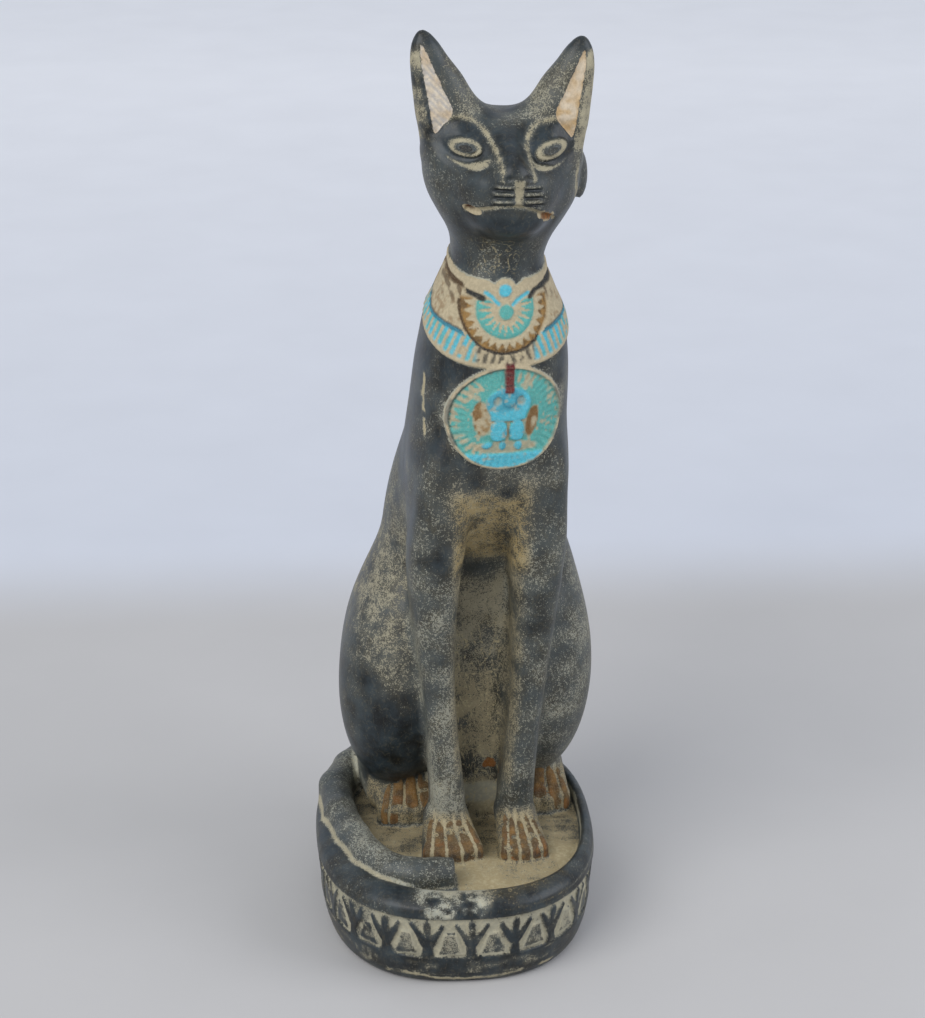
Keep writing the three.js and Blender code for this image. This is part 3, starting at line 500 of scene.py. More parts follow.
# Height of the collar and the medallion in mm. The higher of the two wins where they meet.
def chestRelief(x, y, z):
    m = chestMarks(x, y, z)
    strokes, wedges, spikes = collarCuts(m, x, y, z)[2:]
    h = 0.75 * m["collar"] - 0.35 * strokes + 0.3 * wedges - 0.35 * spikes
    h = h - 0.35 * ease(0.7, 0.25, np.abs(m["radius"] - 8.3)) * m["collar"] * (z < 178)
    h = h - 0.4 * ease(0.7, 0.25, np.abs(m["radius"] - collar["ring"])) * m["collar"] * (z < 178.5)
    h = h + 0.5 * m["disc"] + 0.5 * m["heart"] - 0.35 * m["wing"] - 0.45 * m["cord"]
    plate = 1.25 * m["medal"] - 0.75 * m["field"]
    ray = np.degrees(np.arctan2(z - medal["middle"][1], x - medal["middle"][0])) / 8 + 0.5
    cuts = stripes(ray, 0.28, 0.14) * ease(0.66, 0.74, m["rho"]) * m["field"]
    beetle = m["beetle"] * (1 - 0.7 * m["armGap"])
    raised = np.maximum.reduce([beetle, m["lobe"], 0.6 * m["dash"], 0.7 * m["segment"]])
    plate = plate + 0.95 * raised + 0.4 * m["beetleHead"] - 0.25 * cuts - 0.2 * m["patch"]
    h = np.where(m["medal"] > 0, np.maximum(h * (1 - m["medal"]), plate), h)
    return h + 0.6 * m["red"]


# Place of a world point in the cat's units: qx and qy before the turn, straight across the turned but
# upright cat, and x, y and z on the leaning one.
def catPlace(wx, wy, wz):
    qx, qy, z = (wx - catSizes["shift"]) / unit, wy / unit, (wz - floorZ) / unit
    straight = qx * turnCos + qy * turnSin
    y = qy * turnCos - qx * turnSin
    return qx, qy, straight, straight - catSizes["lean"] * (z - 82.5), y, z


# Place across the forelegs, which stand upright up to the height where they start to lean.
def legLean(straight, z):
    return straight - catSizes["lean"] * np.maximum(z - bodySizes["legsUpright"], 0)


# The cat's parts joined from the ground up, each worked out only at the heights where it lies.
def cat(wx, wy, wz):
    qx, qy, straight, x, y, z = catPlace(wx, wy, wz)
    d = torso(x, y, z)
    low = z < 112
    if low.any():
        sx, sy, sz = x[low], y[low], z[low]
        bow = np.where(sz < 50, 0.0005, 0.0009) * (sz - 50) ** 2
        d[low] = join(d[low], haunch(sx - bow, sy, sz), 7)
    low = z < 146
    if low.any():
        sz = z[low]
        d[low] = join(d[low], legs(legLean(straight[low], sz), y[low], sz), 3 + 3 * ease(92, 124, sz))
    near = (z > 122) & (z < 196) & (np.abs(d) < 4)
    if near.any():
        d[near] -= chestRelief(x[near], y[near], z[near])
    high = z > 178
    if high.any():
        d[high] = join(d[high], head(qx[high], qy[high], z[high]), 4)
    low = z < 30
    if low.any():
        sx, sy, sz = straight[low], y[low], z[low]
        e = d[low]
        e = join(e, paw(-sx, sy, sz, paws["foreRight"]), 2.5)
        e = join(e, paw(sx, sy, sz, paws["foreLeft"]), 2.5)
        d[low] = join(e, paw(np.abs(sx), sy, sz, paws["hind"]), 2)
    return d * unit


# The tail leaves the rump and lies along the rim. Shares of the plinth's half sizes, thickness and
# height in radii.
tailPath = (
    (0.05, 0.68, 1.1, 1.1), (-0.28, 0.8, 1.06, 0.85), (-0.54, 0.74, 0.94, 0.55), (-0.755, 0.54, 0.88, 0.35),
    (-0.865, 0.31, 0.9, 0.35), (-0.835, 0, 0.9, 0.25), (-0.75, -0.262, 0.92, 0.15),
    (-0.64, -0.48, 0.94, 0.08), (-0.50, -0.62, 0.89, 0.08), (-0.34, -0.67, 0.84, 0.1),
    (-0.187, -0.668, 0.8, 0.08), (-0.03, -0.66, 0.78, 0.08))
tailEnd = 0.052 * halfWidth  # left of the middle, cut off square


# Tapered rods from place to place, filled down to the rim.
def tail(x, y, z):
    r = catSizes["tailRadius"]
    nodes = [((u * halfWidth, v * halfLength, plinthHeight + r * (lift - 0.1)), r * thick)
             for u, v, thick, lift in tailPath]
    d = np.full(x.shape, 20.0)
    for (a, ra), (b, rb) in zip(nodes[:-1], nodes[1:]):
        d = join(d, rod(x, y, np.maximum(z, (a[2] + b[2]) / 2), a, b, ra, rb), 1.5)
    return keep(d, x + tailEnd, 1.4)


# How far the frieze's ground lies inside the plinth's outline: its depth, and a slant that leans out.
def wallInset(z):
    t = np.clip((z - plinthSizes["footBand"]) / plinthSizes["frieze"], 0, 1)
    return plinthSizes["friezeDepth"] + mix(plinthSizes["footInset"] * 0.1, -flare, t)


# The foot's inset over its height, and the rim's height in mm across its width.
footShape = profile((0, 1), (0.14, 0.68), (0.4, 0.4), (0.78, 0.18), (1, 0.1))
rimShape = profile((0, 0), (0.05, 2.27), (0.15, 3.71), (0.3, 4.77), (0.5, 5.2), (0.74, 5.1), (0.88, 4.0),
                   (0.95, 2.2), (1.03, 1.2), (1.2, 1.2))


# Length along the plinth's outline at each turn about its middle, for flowers of even width.
def outlineTable():
    n = plinthSizes["fullness"]
    turn = np.linspace(-math.pi, math.pi, 1441)
    c, s = np.cos(turn), np.sin(turn)
    reach = (np.abs(c / halfWidth) ** n + np.abs(s / halfLength) ** n) ** (-1 / n)
    steps = np.hypot(np.diff(c * reach), np.diff(s * reach))
    return turn, np.concatenate([[0], np.cumsum(steps)])


outlineTurn, outlineRun = outlineTable()
flowerLook = {"pitch": 13.2, "start": 0.37}  # mm from flower to flower, and where the first one lies
flowerPitch = outlineRun[-1] / round(outlineRun[-1] / flowerLook["pitch"])
petalWidth = profile((0.3, 0.3), (0.47, 0.6), (0.6, 1.0), (0.74, 1.2), (0.87, 0.75), (0.95, -0.6))


# Frieze marks: u across from a flower's middle and v up the frieze, both in mm. A flower is a stem, a
# middle petal and two slanting ones; between two flowers stands a mound with straight sides.
def friezeMarks(x, y, z):
    pitch, tall = flowerPitch, plinthSizes["frieze"]
    run = np.interp(np.arctan2(y, x), outlineTurn, outlineRun) + flowerLook["start"] * pitch
    u = np.abs((run + 0.8 * (lumps(x, y, z, 5.0, 3) - 0.5)) % pitch - pitch / 2)
    v = z - plinthSizes["footBand"] + 0.8 * (lumps(x, y, z, 4.0, 5) - 0.5)
    middle = (u - petalWidth(v / tall)) * 0.9
    leaf = stroke(u, v, (0.9, 0.34 * tall), (0.16 * pitch, 0.52 * tall), (0.33 * pitch, 0.8 * tall))
    leaf = leaf - mix(1.2, 0.75, ease(0.45, 0.8, v / tall))
    stem = np.maximum(u - mix(1.9, 1.45, ease(0, 0.3 * tall, v)), v - 0.48 * tall)
    flower = np.minimum(np.minimum(middle, leaf), stem)
    slant = mix(0.345 * pitch, 0.13 * pitch, np.clip(v / (0.66 * tall), 0, 1))
    mound = np.maximum(pitch / 2 - u - slant, np.abs(v - 0.33 * tall) - 0.31 * tall)
    up = z - plinthSizes["footBand"]
    here = ease(-0.3, 0.3, up) * ease(0.2, -0.4, up - tall)
    return {"flower": ease(0.3, -0.25, flower) * here, "mound": ease(0.1, -0.5, mound) * here,
            "moundCore": ease(-0.5, -1.2, mound) * here, "here": here, "share": v / tall}


# Share across the rim, from 0 at its outer edge to 1 where it meets the tray.
def rimShare(x, y):
    s = plinthSizes
    floorX, floorY = (s["rimLeft"] - s["rimRight"]) / 2, (s["rimFront"] - s["rimBack"]) / 2
    hollow = oval(x - floorX, y - floorY, halfWidth - (s["rimLeft"] + s["rimRight"]) / 2,
                  halfLength - (s["rimFront"] + s["rimBack"]) / 2, s["fullness"])
    inside = np.maximum(-oval(x, y, halfWidth + flare, halfLength + flare, s["fullness"]), 0)
    return np.where(hollow < 0, 1 - hollow * 0.1, inside / (inside + np.maximum(hollow, 0) + 1e-6))


# Plinth: an oval drum whose inset follows its height, topped by a rolled rim round a sunk tray.
def plinth(x, y, z):
    foot = plinthSizes["footBand"]
    inset = np.where(z < foot, footShape(z / foot) * plinthSizes["footInset"], wallInset(z))
    inset = mix(inset, -flare, ease(friezeTop - 0.5, friezeTop, z))
    outer = oval(x, y, halfWidth - inset, halfLength - inset, plinthSizes["fullness"])
    near = (np.abs(outer) < 3) & (z > foot - 1) & (z < friezeTop + 1)
    if near.any():
        m = friezeMarks(x[near], y[near], z[near])
        outer[near] -= 0.75 * m["flower"] + 0.5 * np.maximum(m["mound"] - m["flower"], 0)
    top = (z - friezeTop - rimShape(rimShare(x, y))) * 0.7
    return keep(keep(outer, top, 0.6), -z, 0.5)


# The whole carving: cat and tail, cut off a little below the tray's floor, joined to the plinth.
def carving(x, y, z):
    stone = join(cat(x, y, z), tail(x, y, z), 0.8)
    stone = keep(stone, floorZ - 5 - z, 0.5)
    low = z < plinthHeight + 4
    if low.any():
        stone[low] = join(stone[low], plinth(x[low], y[low], z[low]), 0.8)
    return stone


# Closes cracks thinner than a grid cell, so the skin goes through each cell as one sheet: a cell whose
# inner or outer corners don't hang together along its edges gets its nearest outer corner filled.
def closeCracks(value):
    linked = np.zeros(256, bool)
    for cells in range(256):
        reached = cells & -cells
        for _ in range(4):
            for c in range(8):
                if reached >> c & 1:
                    for flip in (1, 2, 4):
                        reached |= cells & (1 << (c ^ flip))
        linked[cells] = reached == cells
    n = np.array(value.shape) - 1
    for _ in range(30):
        corners = [value[c & 1: n[0] + (c & 1), c >> 1 & 1: n[1] + (c >> 1 & 1), c >> 2: n[2] + (c >> 2)]
                   for c in range(8)]
        inside = sum((v < 0).astype(int) << c for c, v in enumerate(corners))
        bad = np.argwhere(~(linked[inside] & linked[255 - inside]))
        if not len(bad):
            return
        near = np.stack([v[tuple(bad.T)] for v in corners], 1)
        near[near < 0] = 1e3
        pick = near.argmin(1)
        filled = bad + np.stack([pick & 1, pick >> 1 & 1, pick >> 2], 1)
        value[tuple(filled.T)] = -0.05


# Values at the two ends of each grid edge along one axis, over the slices given for the other two.
def edgeEnds(value, axis, others):
    return [value[tuple(part if k == axis else others for k in range(3))]
            for part in (slice(0, -1), slice(1, None))]


# Skin of a field by surface nets: a corner in each grid cell that the surface crosses, at the mean of
# its crossings, and a quad across each grid edge that it crosses, cut along its shorter diagonal.
def netSkin(field, low, high, cell):
    axes = [np.arange(a, b + cell, cell) for a, b in zip(low, high)]
    value = np.stack([field(*np.meshgrid([x], axes[1], axes[2], indexing="ij"))[0] for x in axes[0]])
    closeCracks(value)
    n = np.array(value.shape) - 1
    total, count = np.zeros((3, *n)), np.zeros(n)
    for a in range(3):
        va, vb = edgeEnds(value, a, slice(None))
        crossed = (va < 0) != (vb < 0)
        t = np.where(crossed, va / np.where(crossed, va - vb, 1), 0)
        b, c = [k for k in range(3) if k != a]
        for ob in (0, 1):
            for oc in (0, 1):
                part = [slice(None)] * 3
                part[b], part[c] = slice(ob, ob + n[b]), slice(oc, oc + n[c])
                hit = crossed[tuple(part)]
                count += hit
                total[a] += t[tuple(part)]
                total[b] += hit * ob
                total[c] += hit * oc
    used = count > 0
    index = np.full(n, -1)
    index[used] = np.arange(used.sum())
    points = np.array([a[0] for a in axes]) + (np.argwhere(used) + (total[:, used] / count[used]).T) * cell
    quads = []
    for a in range(3):
        va, vb = edgeEnds(value < 0, a, slice(1, -1))
        edges = np.argwhere(va != vb)
        first = va[tuple(edges.T)]
        base = edges + np.array([0 if k == a else 1 for k in range(3)])
        b, c = (a + 1) % 3, (a + 2) % 3
        around = []
        for ob, oc in ((-1, -1), (0, -1), (0, 0), (-1, 0)):
            q = base.copy()
            q[:, b] += ob
            q[:, c] += oc
            around.append(index[tuple(q.T)])
        quad = np.stack(around, 1)
        quad[~first] = quad[~first][:, ::-1]
        quads.append(quad)
    quads = np.concatenate(quads)
    diagonals = [np.linalg.norm(points[quads[:, i]] - points[quads[:, i + 2]], axis=1) for i in (0, 1)]
    short = (diagonals[0] < diagonals[1])[:, None]
    one = np.where(short, quads[:, [0, 1, 2]], quads[:, [0, 1, 3]])
    two = np.where(short, quads[:, [0, 2, 3]], quads[:, [1, 2, 3]])
    return points, np.concatenate([one, two])


# Slope of a field by the difference of its values a step to either side along each axis.
def slopeOf(field, p, step=0.05):
    g = np.empty_like(p)
    for k in range(3):
        e = np.zeros(3)
        e[k] = step
        g[:, k] = (field(*(p + e).T) - field(*(p - e).T)) / (2 * step)
    return g


# Newton steps onto the surface: p moves by distance times slope over slope squared.
def settle(field, p, most, rounds):
    for _ in range(rounds):
        g = slopeOf(field, p)
        move = field(*p.T) / np.maximum((g * g).sum(1), 0.25)
        p = p - np.clip(move, -most, most)[:, None] * g
    return p


# Splits every edge longer than the size wanted at its middle. A triangle with one, two or three split
# edges gives two, three or four.
def splitEdges(p, f, size):
    edges = np.sort(f[:, [[0, 1], [1, 2], [2, 0]]].reshape(-1, 2), axis=1)
    edges, back = np.unique(edges, axis=0, return_inverse=True)
    a, b = p[edges[:, 0]], p[edges[:, 1]]
    middle = (a + b) / 2
    split = np.linalg.norm(a - b, axis=1) > 1.38 * size(middle)
    number = np.full(len(edges), -1)
    number[split] = len(p) + np.arange(split.sum())
    mids = number[back.reshape(-1, 3)]
    p = np.concatenate([p, middle[split]])
    cuts = (mids >= 0).sum(1)
    out = [f[cuts == 0]]

    def away(i, j):
        return np.linalg.norm(p[i] - p[j], axis=1)

    for k in range(3):
        turn = [k, (k + 1) % 3, (k + 2) % 3]
        g, m = f[:, turn], mids[:, turn]
        one = (cuts == 1) & (m[:, 0] >= 0)
        g1, m1 = g[one], m[one]
        out += [np.stack([g1[:, 0], m1[:, 0], g1[:, 2]], 1), np.stack([m1[:, 0], g1[:, 1], g1[:, 2]], 1)]
        two = (cuts == 2) & (m[:, 2] < 0)
        g2, m2 = g[two], m[two]
        out += [np.stack([m2[:, 0], g2[:, 1], m2[:, 1]], 1)]
        flat = away(m2[:, 0], g2[:, 2]) < away(m2[:, 1], g2[:, 0])
        g3, m3 = g2[flat], m2[flat]
        out += [np.stack([m3[:, 0], m3[:, 1], g3[:, 2]], 1), np.stack([g3[:, 0], m3[:, 0], g3[:, 2]], 1)]
        g3, m3 = g2[~flat], m2[~flat]
        out += [np.stack([g3[:, 0], m3[:, 0], m3[:, 1]], 1), np.stack([g3[:, 0], m3[:, 1], g3[:, 2]], 1)]
    g, m = f[cuts == 3], mids[cuts == 3]
    out += [np.stack([g[:, 0], m[:, 0], m[:, 2]], 1), np.stack([m[:, 0], g[:, 1], m[:, 1]], 1),
            np.stack([m[:, 2], m[:, 1], g[:, 2]], 1), m]
    return p, np.concatenate(out)


# Evens out the triangles: each corner moves towards the middle of its neighbours, along the surface.
def relax(p, f, g, share):
    total, count = np.zeros_like(p), np.zeros(len(p))
    for a, b in ((0, 1), (1, 2), (2, 0)):
        for i, j in ((a, b), (b, a)):
            np.add.at(total, f[:, i], p[f[:, j]])
            np.add.at(count, f[:, i], 1)
    move = total / count[:, None] - p
    n = g / np.linalg.norm(g, axis=1)[:, None]
    return p + share * (move - (move * n).sum(1)[:, None] * n)


# Edge length of the mesh in mm: fine on the face, the collar, the paws and the frieze.
meshSizes = {
    "cell": 1.9, "plain": 2.0, "face": 0.5, "faceEdge": 0.8, "ear": 0.75, "head": 1.5, "chest": 0.5,
    "chestSides": 1.4, "shoulders": 1.5, "scratch": 0.6, "paw": 0.7, "tail": 1.3, "seam": 0.75,
    "frieze": 0.6, "friezeBack": 0.95, "footLine": 0.75,
}


def wantedSize(p):
    qx, qy, straight, x, y, z = catPlace(*p.T)
    px, pz = headPlace(qx, qy, z)
    wx, wy, height = p.T
    s = np.full(len(p), meshSizes["plain"])
    frieze = (height > plinthSizes["footBand"] - 1) & (height < friezeTop + 1)
    s[frieze] = np.where(wy[frieze] < 12, meshSizes["frieze"], meshSizes["friezeBack"])
    s[(height > 1) & (height < 4.4) & (wy < -25)] = meshSizes["footLine"]
    s[(height >= friezeTop + 1) & (z < 12)] = meshSizes["tail"]
    low = (height > plinthHeight - 4) & (z < 9) & (wy < 40) & (wx < 4)
    seam = np.maximum(np.abs(tail(*p[low].T)), np.abs(plinth(*p[low].T))) < 1.6
    s[np.flatnonzero(low)[seam]] = meshSizes["seam"]
    s[(z > -0.5) & (z < 17) & (y < 14) & (np.abs(straight) < 33)] = meshSizes["paw"]
    s[(z > 122) & (z < 190)] = meshSizes["shoulders"]
    chest = (z > 127) & (z < 186) & (y < -1)
    shown = chestRange(x[chest], y[chest], z[chest])
    s[chest] = np.where(shown, meshSizes["chest"], meshSizes["chestSides"])
    s[(np.abs(x - shoulderScratch["x"]) < 1.3) & (np.abs(z - 146) < 13) & (y < 0)] = meshSizes["scratch"]
    headOn = z > 190
    s[headOn] = meshSizes["head"]
    s[headOn & (pz > 8) & (y < -3)] = meshSizes["ear"]
    s[headOn & (y < -10) & (pz < 16.5) & (pz > -13.5)] = meshSizes["faceEdge"]
    s[headOn & (y < -12) & (pz < 16.2) & (pz > -12.5) & (np.abs(px - 0.5) < 18)] = meshSizes["face"]
    return s


# The part of the chest that is covered by the collar or the medallion, and a mm round that.
def chestRange(x, y, z):
    cx, cz = x - medal["middle"][0], z - medal["middle"][1]
    onMedal = np.hypot(cx / (medal["half"][0] + 1), cz / (medal["half"][1] + 1)) < 1
    return (aboveEdge(collar["edge"], y, z) > -1) | onMedal


# The carving's skin: a coarse net, split four times where finer edges are wanted, evened out and laid
# on the surface again after each.
def figureMesh():
    margin, haunchReach = 6, 50 * unit
    low = (-halfWidth - margin, -halfLength - margin, -4)
    high = (haunchReach + margin, halfLength + margin, floorZ + catSizes["height"] + 5)
    p, f = netSkin(carving, low, high, meshSizes["cell"])
    p = settle(carving, p, 0.6, 2)
    print("coarse skin", len(p), "points", len(f), "triangles")
    for _ in range(4):
        p, f = splitEdges(p, f, wantedSize)
        g = slopeOf(carving, p)
        p = settle(carving, relax(p, f, g, 0.4), 0.3, 1)
    p = settle(carving, relax(p, f, slopeOf(carving, p), 0.3), 0.3, 2)
    p[:, 2] = np.where(np.abs(p[:, 2]) < 0.06, 0, np.maximum(p[:, 2], 0))
    print("fine skin", len(p), "points", len(f), "triangles")
    return p, f


# sRGB hex to linear: a power of 2.4 above the toe of the curve.
def linear(hexColour):
    c = np.array([int(hexColour[i:i + 2], 16) for i in (1, 3, 5)]) / 255
    return np.where(c <= 0.04045, c / 12.92, ((c + 0.055) / 1.055) ** 2.4)


# Matt brush paint, a little faded, at each corner of the mesh.
paints = {
    "cream": "#b4a688", "turquoise": "#54a59d", "blue": "#50b5c7", "deepBlue": "#2a7b90", "brown": "#7c5a30",
    "gold": "#93703c", "darkBrown": "#4a3620", "darkRed": "#641f22", "black": "#1d2124", "rust": "#8a5622",
    "earPink": "#d3c6b1", "earGrey": "#a3a2a3", "earTan": "#bd9f74", "grey": "#6d6f68",
    "toe": "#5a472b", "toeLight": "#85602e",
}


# Paint coats: each new one covers the share of the old that its mask gives.
def coats(count):
    colour, cover = np.zeros((count, 3)), np.zeros(count)

    def lay(name, mask):
        m = np.clip(mask, 0, 1)[:, None]
        old = (1 - m) * cover[:, None]
        new = old + m
        blended = (colour * old + linear(paints[name]) * m) / np.maximum(new, 1e-6)
        colour[:] = np.where(new > 1e-6, blended, colour)
        cover[:] = new[:, 0]
    return colour, cover, lay


def paintOf(p):
    qx, qy, straight, x, y, z = catPlace(*p.T)
    colour, cover, lay = coats(len(p))
    paintChest(x, y, z, lay)
    paintHead(qx, qy, z, lay)
    paintPaws(straight, y, z, lay)
    return colour, cover


# Cream ground, brown stains on the shoulders, blue strokes, the fan's wedges and spikes, the cord.
def paintChest(x, y, z, lay):
    u = x + 0.25 * (lumps(x, y, z, 1.7, 1) - 0.5)
    v = z + 0.25 * (lumps(x, y, z, 1.5, 2) - 0.5)
    m = chestMarks(u, y, v)
    band, bandTop, strokes, wedges, spikes = collarCuts(m, u, y, v)
    patchy = lumps(x, y, z, 2.6, 4)
    small = lumps(x, y, z, 1.0, 6)
    beyondRing = m["radius"] - collar["ring"]
    lay("cream", m["collar"])
    shoulder = m["collar"] * (beyondRing > 0) * (band < 0.5) * ease(-2.8, -3.3, m["upper"])
    lay("brown", 0.5 * shoulder * ease(0.45, 0.7, small) * ease(0.4, 0.65, patchy))
    hatch = stripes(u * 0.45 + 0.09 * v, 0.3, 0.14) * ease(-8.5, -5.5, m["upper"]) * ease(0.35, 0.55, patchy)
    lay("darkBrown", 0.75 * shoulder * hatch)
    frontBand = ease(9.5, 7.5, np.abs(u + 0.5))
    lay("blue", strokes * (1 - frontBand) * ease(0.2, 0.35, patchy))
    lay("turquoise", 0.6 * strokes * (1 - frontBand) * ease(0.5, 0.65, patchy))
    lay("black", 0.8 * strokes * frontBand * ease(0.25, 0.5, small))
    bandEdge = m["lower"] - bandTop
    lay("deepBlue", band * ease(0.75, 0.4, np.abs(bandEdge + 0.6)) * (beyondRing > 1))
    lay("black", 0.6 * m["collar"] * ease(0.4, 0.15, np.abs(bandEdge)) * (beyondRing > 1))
    lay("turquoise", wedges)
    lay("gold", spikes)
    lay("darkBrown", 0.7 * spikes * ease(0.5, 0.75, small))
    outline = ease(0.55, 0.25, np.abs(beyondRing)) * (v < 178) * m["collar"]
    lay("darkBrown", outline * (u < 9))
    lay("black", 0.8 * outline * ease(-3, -6, v - 172))
    lay("darkBrown", m["cord"] * m["collar"] * ease(-10.5, -12, x))
    lay("black", m["cord"] * m["collar"] * (x > -11))
    lay("blue", np.maximum(m["disc"], m["wing"]))
    lay("turquoise", m["heart"])
    paintMedal(u, v, m, patchy, small, lay)


# Turquoise field with worn cream rays, the blue beetle with its dark outlines, two brown patches.
def paintMedal(u, v, m, patchy, small, lay):
    field, rho = m["field"], m["rho"]
    lay("cream", m["medal"])
    lay("grey", 0.8 * m["medal"] * (1 - field) * ease(0.45, 0.65, patchy))
    cx, cz = u - medal["middle"][0], v - medal["middle"][1]
    gaps = stripes(np.degrees(np.arctan2(cz, cx)) / 9 + 0.3 * patchy, 0.32, 0.18)
    gaps = gaps * ease(0.66, 0.74, rho) * ease(0.97, 0.88, rho)
    gaps = gaps * ease(0.3, 0.55, patchy) * np.maximum(ease(4, 9, cz), ease(-3, -8, cx))
    lay("turquoise", field * (1 - 0.9 * gaps))
    blotch = ease(0.60, 0.72, 0.5 * patchy + 0.5 * small) * ease(0.42, 0.5, rho)
    lay("cream", 0.8 * field * blotch * ease(0.97, 0.9, rho))
    lay("deepBlue", 0.3 * field * ease(0.94, 1.0, rho + 0.02))
    edge = (rho - 1) * medalRadius + medal["rim"]
    # Black on the inner wall of the rim, on its left side only: painted shade.
    shade = ease(0.5, 0.15, np.abs(edge + 0.1)) * ease(4, -8, cx) * ease(0.2, 0.5, patchy)
    lay("black", 0.65 * m["medal"] * shade)
    ground = ease(1.1, 0.8, spot(u, v, 0.7, 144.0, 9.0, 8.0)) * ease(138.5, 140.5, v)
    lay("cream", 0.55 * field * ground * ease(0.45, 0.6, patchy))
    under = ease(1.1, 0.9, spot(u, v, 0.4, 136.2, 9.5, 1.9))
    lay("cream", 0.8 * field * under * ease(0.3, 0.45, patchy))
    lay("cream", m["patch"])
    lay("gold", 0.7 * m["patch"] * ease(0.35, 0.6, small))
    stain = np.where(u > 1, ease(0.3, 0.45, patchy), 0.9 * ease(0.5, 0.62, small) * ease(-5.2, -6.8, u))
    lay("brown", m["patch"] * stain)
    figure = np.maximum.reduce([m["beetle"], m["lobe"], m["dash"], m["segment"]])
    lay("cream", field * ease(0.6, 0.3, np.abs(v - 144.2)) * ease(6, 5, np.abs(u - 0.9)))
    lay("cream", field * ease(0.55, 0.25, np.abs(u - 1.1)) * ease(144.4, 144, v) * ease(137.2, 137.8, v))
    lay("blue", figure)
    lay("deepBlue", 0.45 * figure * ease(0.55, 0.7, patchy) * (1 - m["segment"]))
    lay("deepBlue", 0.6 * ease(0.3, 0.12, np.abs(spot(u, v, *medal["beetleHead"]) - 1)) * m["beetle"])
    lay("cream", 0.5 * m["armGap"] * ease(0.2, 0.45, patchy))
    lay("cream", 0.55 * figure * ease(0.66, 0.78, small) * ease(0.4, 0.6, patchy))
    lay("darkRed", m["red"])
    lay("black", 0.5 * m["red"] * ease(0.3, 0.1, np.abs((v - 153.2) / 3.1 % 1 - 0.5) * 2))


# Pale hatched ear panels, a cream and a rusty corner of the mouth, dark pupils.
def paintHead(qx, qy, z, layCoat):
    headOn = ease(186, 190, z)
    px, pz = headPlace(qx, qy, z)
    m = faceMarks(px, qy, pz)
    rough = lumps(qx, qy, z, 1.5, 9)
    hatch = stripes((px + pz * 0.9) / 1.5, 0.32, 0.18)
    left, right = m["panel"] * (px < 0), m["panel"] * (px >= 0)

    def lay(name, mask):
        layCoat(name, headOn * mask)

    lay("earPink", left)
    lay("earGrey", left * hatch * 0.7)
    lay("earTan", right)
    lay("earPink", right * 0.75 * ease(0.25, 0.75, rough + 0.012 * (pz - 20)))
    lay("earTan", left * ease(0.45, 0.85, lumps(qx, qy, z, 3.0, 12)) * 0.5)
    lay("cream", m["corner"])
    lay("darkBrown", m["hole"])
    lay("darkRed", 0.4 * m["hole"])
    lay("cream", 0.75 * m["rustEdge"] * ease(0.3, 0.6, rough))
    lay("rust", m["rust"])
    lay("darkBrown", 0.6 * m["rust"] * ease(0.45, 0.65, rough))
    lay("black", 0.85 * m["core"])


# Brown toes with rusty and dark blotches, and one rusty spot on the stone behind the forelegs.
def paintPaws(x, y, z, lay):
    rough = lumps(x, y, z, 1.8, 11)

    def blotch(size, seed, start, end):
        return ease(start, end, lumps(x, y, z, size, seed))

    fore = ease(10.5, 7.5, z) * ease(-9, -12, y) * ease(0.2, 1.2, z)
    for side, name, light in ((-x, "foreRight", 0.6), (x, "foreLeft", 1)):
        toe = toeMarks(side, y, paws[name])[1] * fore
        lay("toe", 0.85 * toe * ease(0.15, 0.4, rough))
        lay("toeLight", 0.7 * toe * ease(0.5, 0.75, rough) * light)
        lay("darkBrown", 0.6 * toe * blotch(2.0, 16, 0.5, 0.7))
        lay("rust", 0.5 * toe * blotch(2.4, 17, 0.6, 0.8) * ease(7, 5, z))
        lay("black", 0.7 * toe * ease(4.5, 2.5, z) * blotch(1.1, 13, 0.55, 0.7))
    dome = np.hypot((np.abs(x) - 20.8) / 10.8, (z - 2) / 13.5) + 0.3 * (rough - 0.5)
    hind = ease(1.15, 0.9, dome) * ease(0.3, 1.5, z) * ease(12, 9, y) * ease(-4, -1, y)
    toe = toeMarks(np.abs(x), y, paws["hind"])[1] * hind
    lay("toe", 0.9 * toe * ease(0.1, 0.35, rough))
    lay("toeLight", 0.8 * toe * ease(0.35, 0.7, rough))
    lay("rust", 0.6 * toe * blotch(2.6, 14, 0.5, 0.8) * ease(11, 8, z))
    lay("darkBrown", 0.65 * toe * blotch(2.2, 15, 0.55, 0.75))
    rusty = ease(1.35, 0.5, spot(x, z, 4.0, 19.5, 2.6, 1.9) + 0.3 * (rough - 0.5))
    lay("rust", 0.9 * rusty * (np.abs(y - 13) < 17))


# How much of a place is covered by dust, from 0 to 1. The levels are by region: polished rim and face,
# dusty shoulders and legs, sandy recesses.
dustLevels = {
    "body": 0.2, "head": 0.15, "brow": 0.18, "neck": 0.18, "chest": 0.3, "leg": 0.28, "ankle": 0.54,
    "haunchHigh": 0.3, "haunchPatch": 0.4, "haunchLow": 0.0, "haunchFar": 0.36,
    "belly": 0.64, "bellyLow": 0.62, "web": 0.5, "tray": 0.8, "rim": 0.05, "tail": 0.38, "foot": 0.04,
}
shoulderScratch = {"x": -21.2, "bottom": 135, "top": 156, "gap": 142.5}
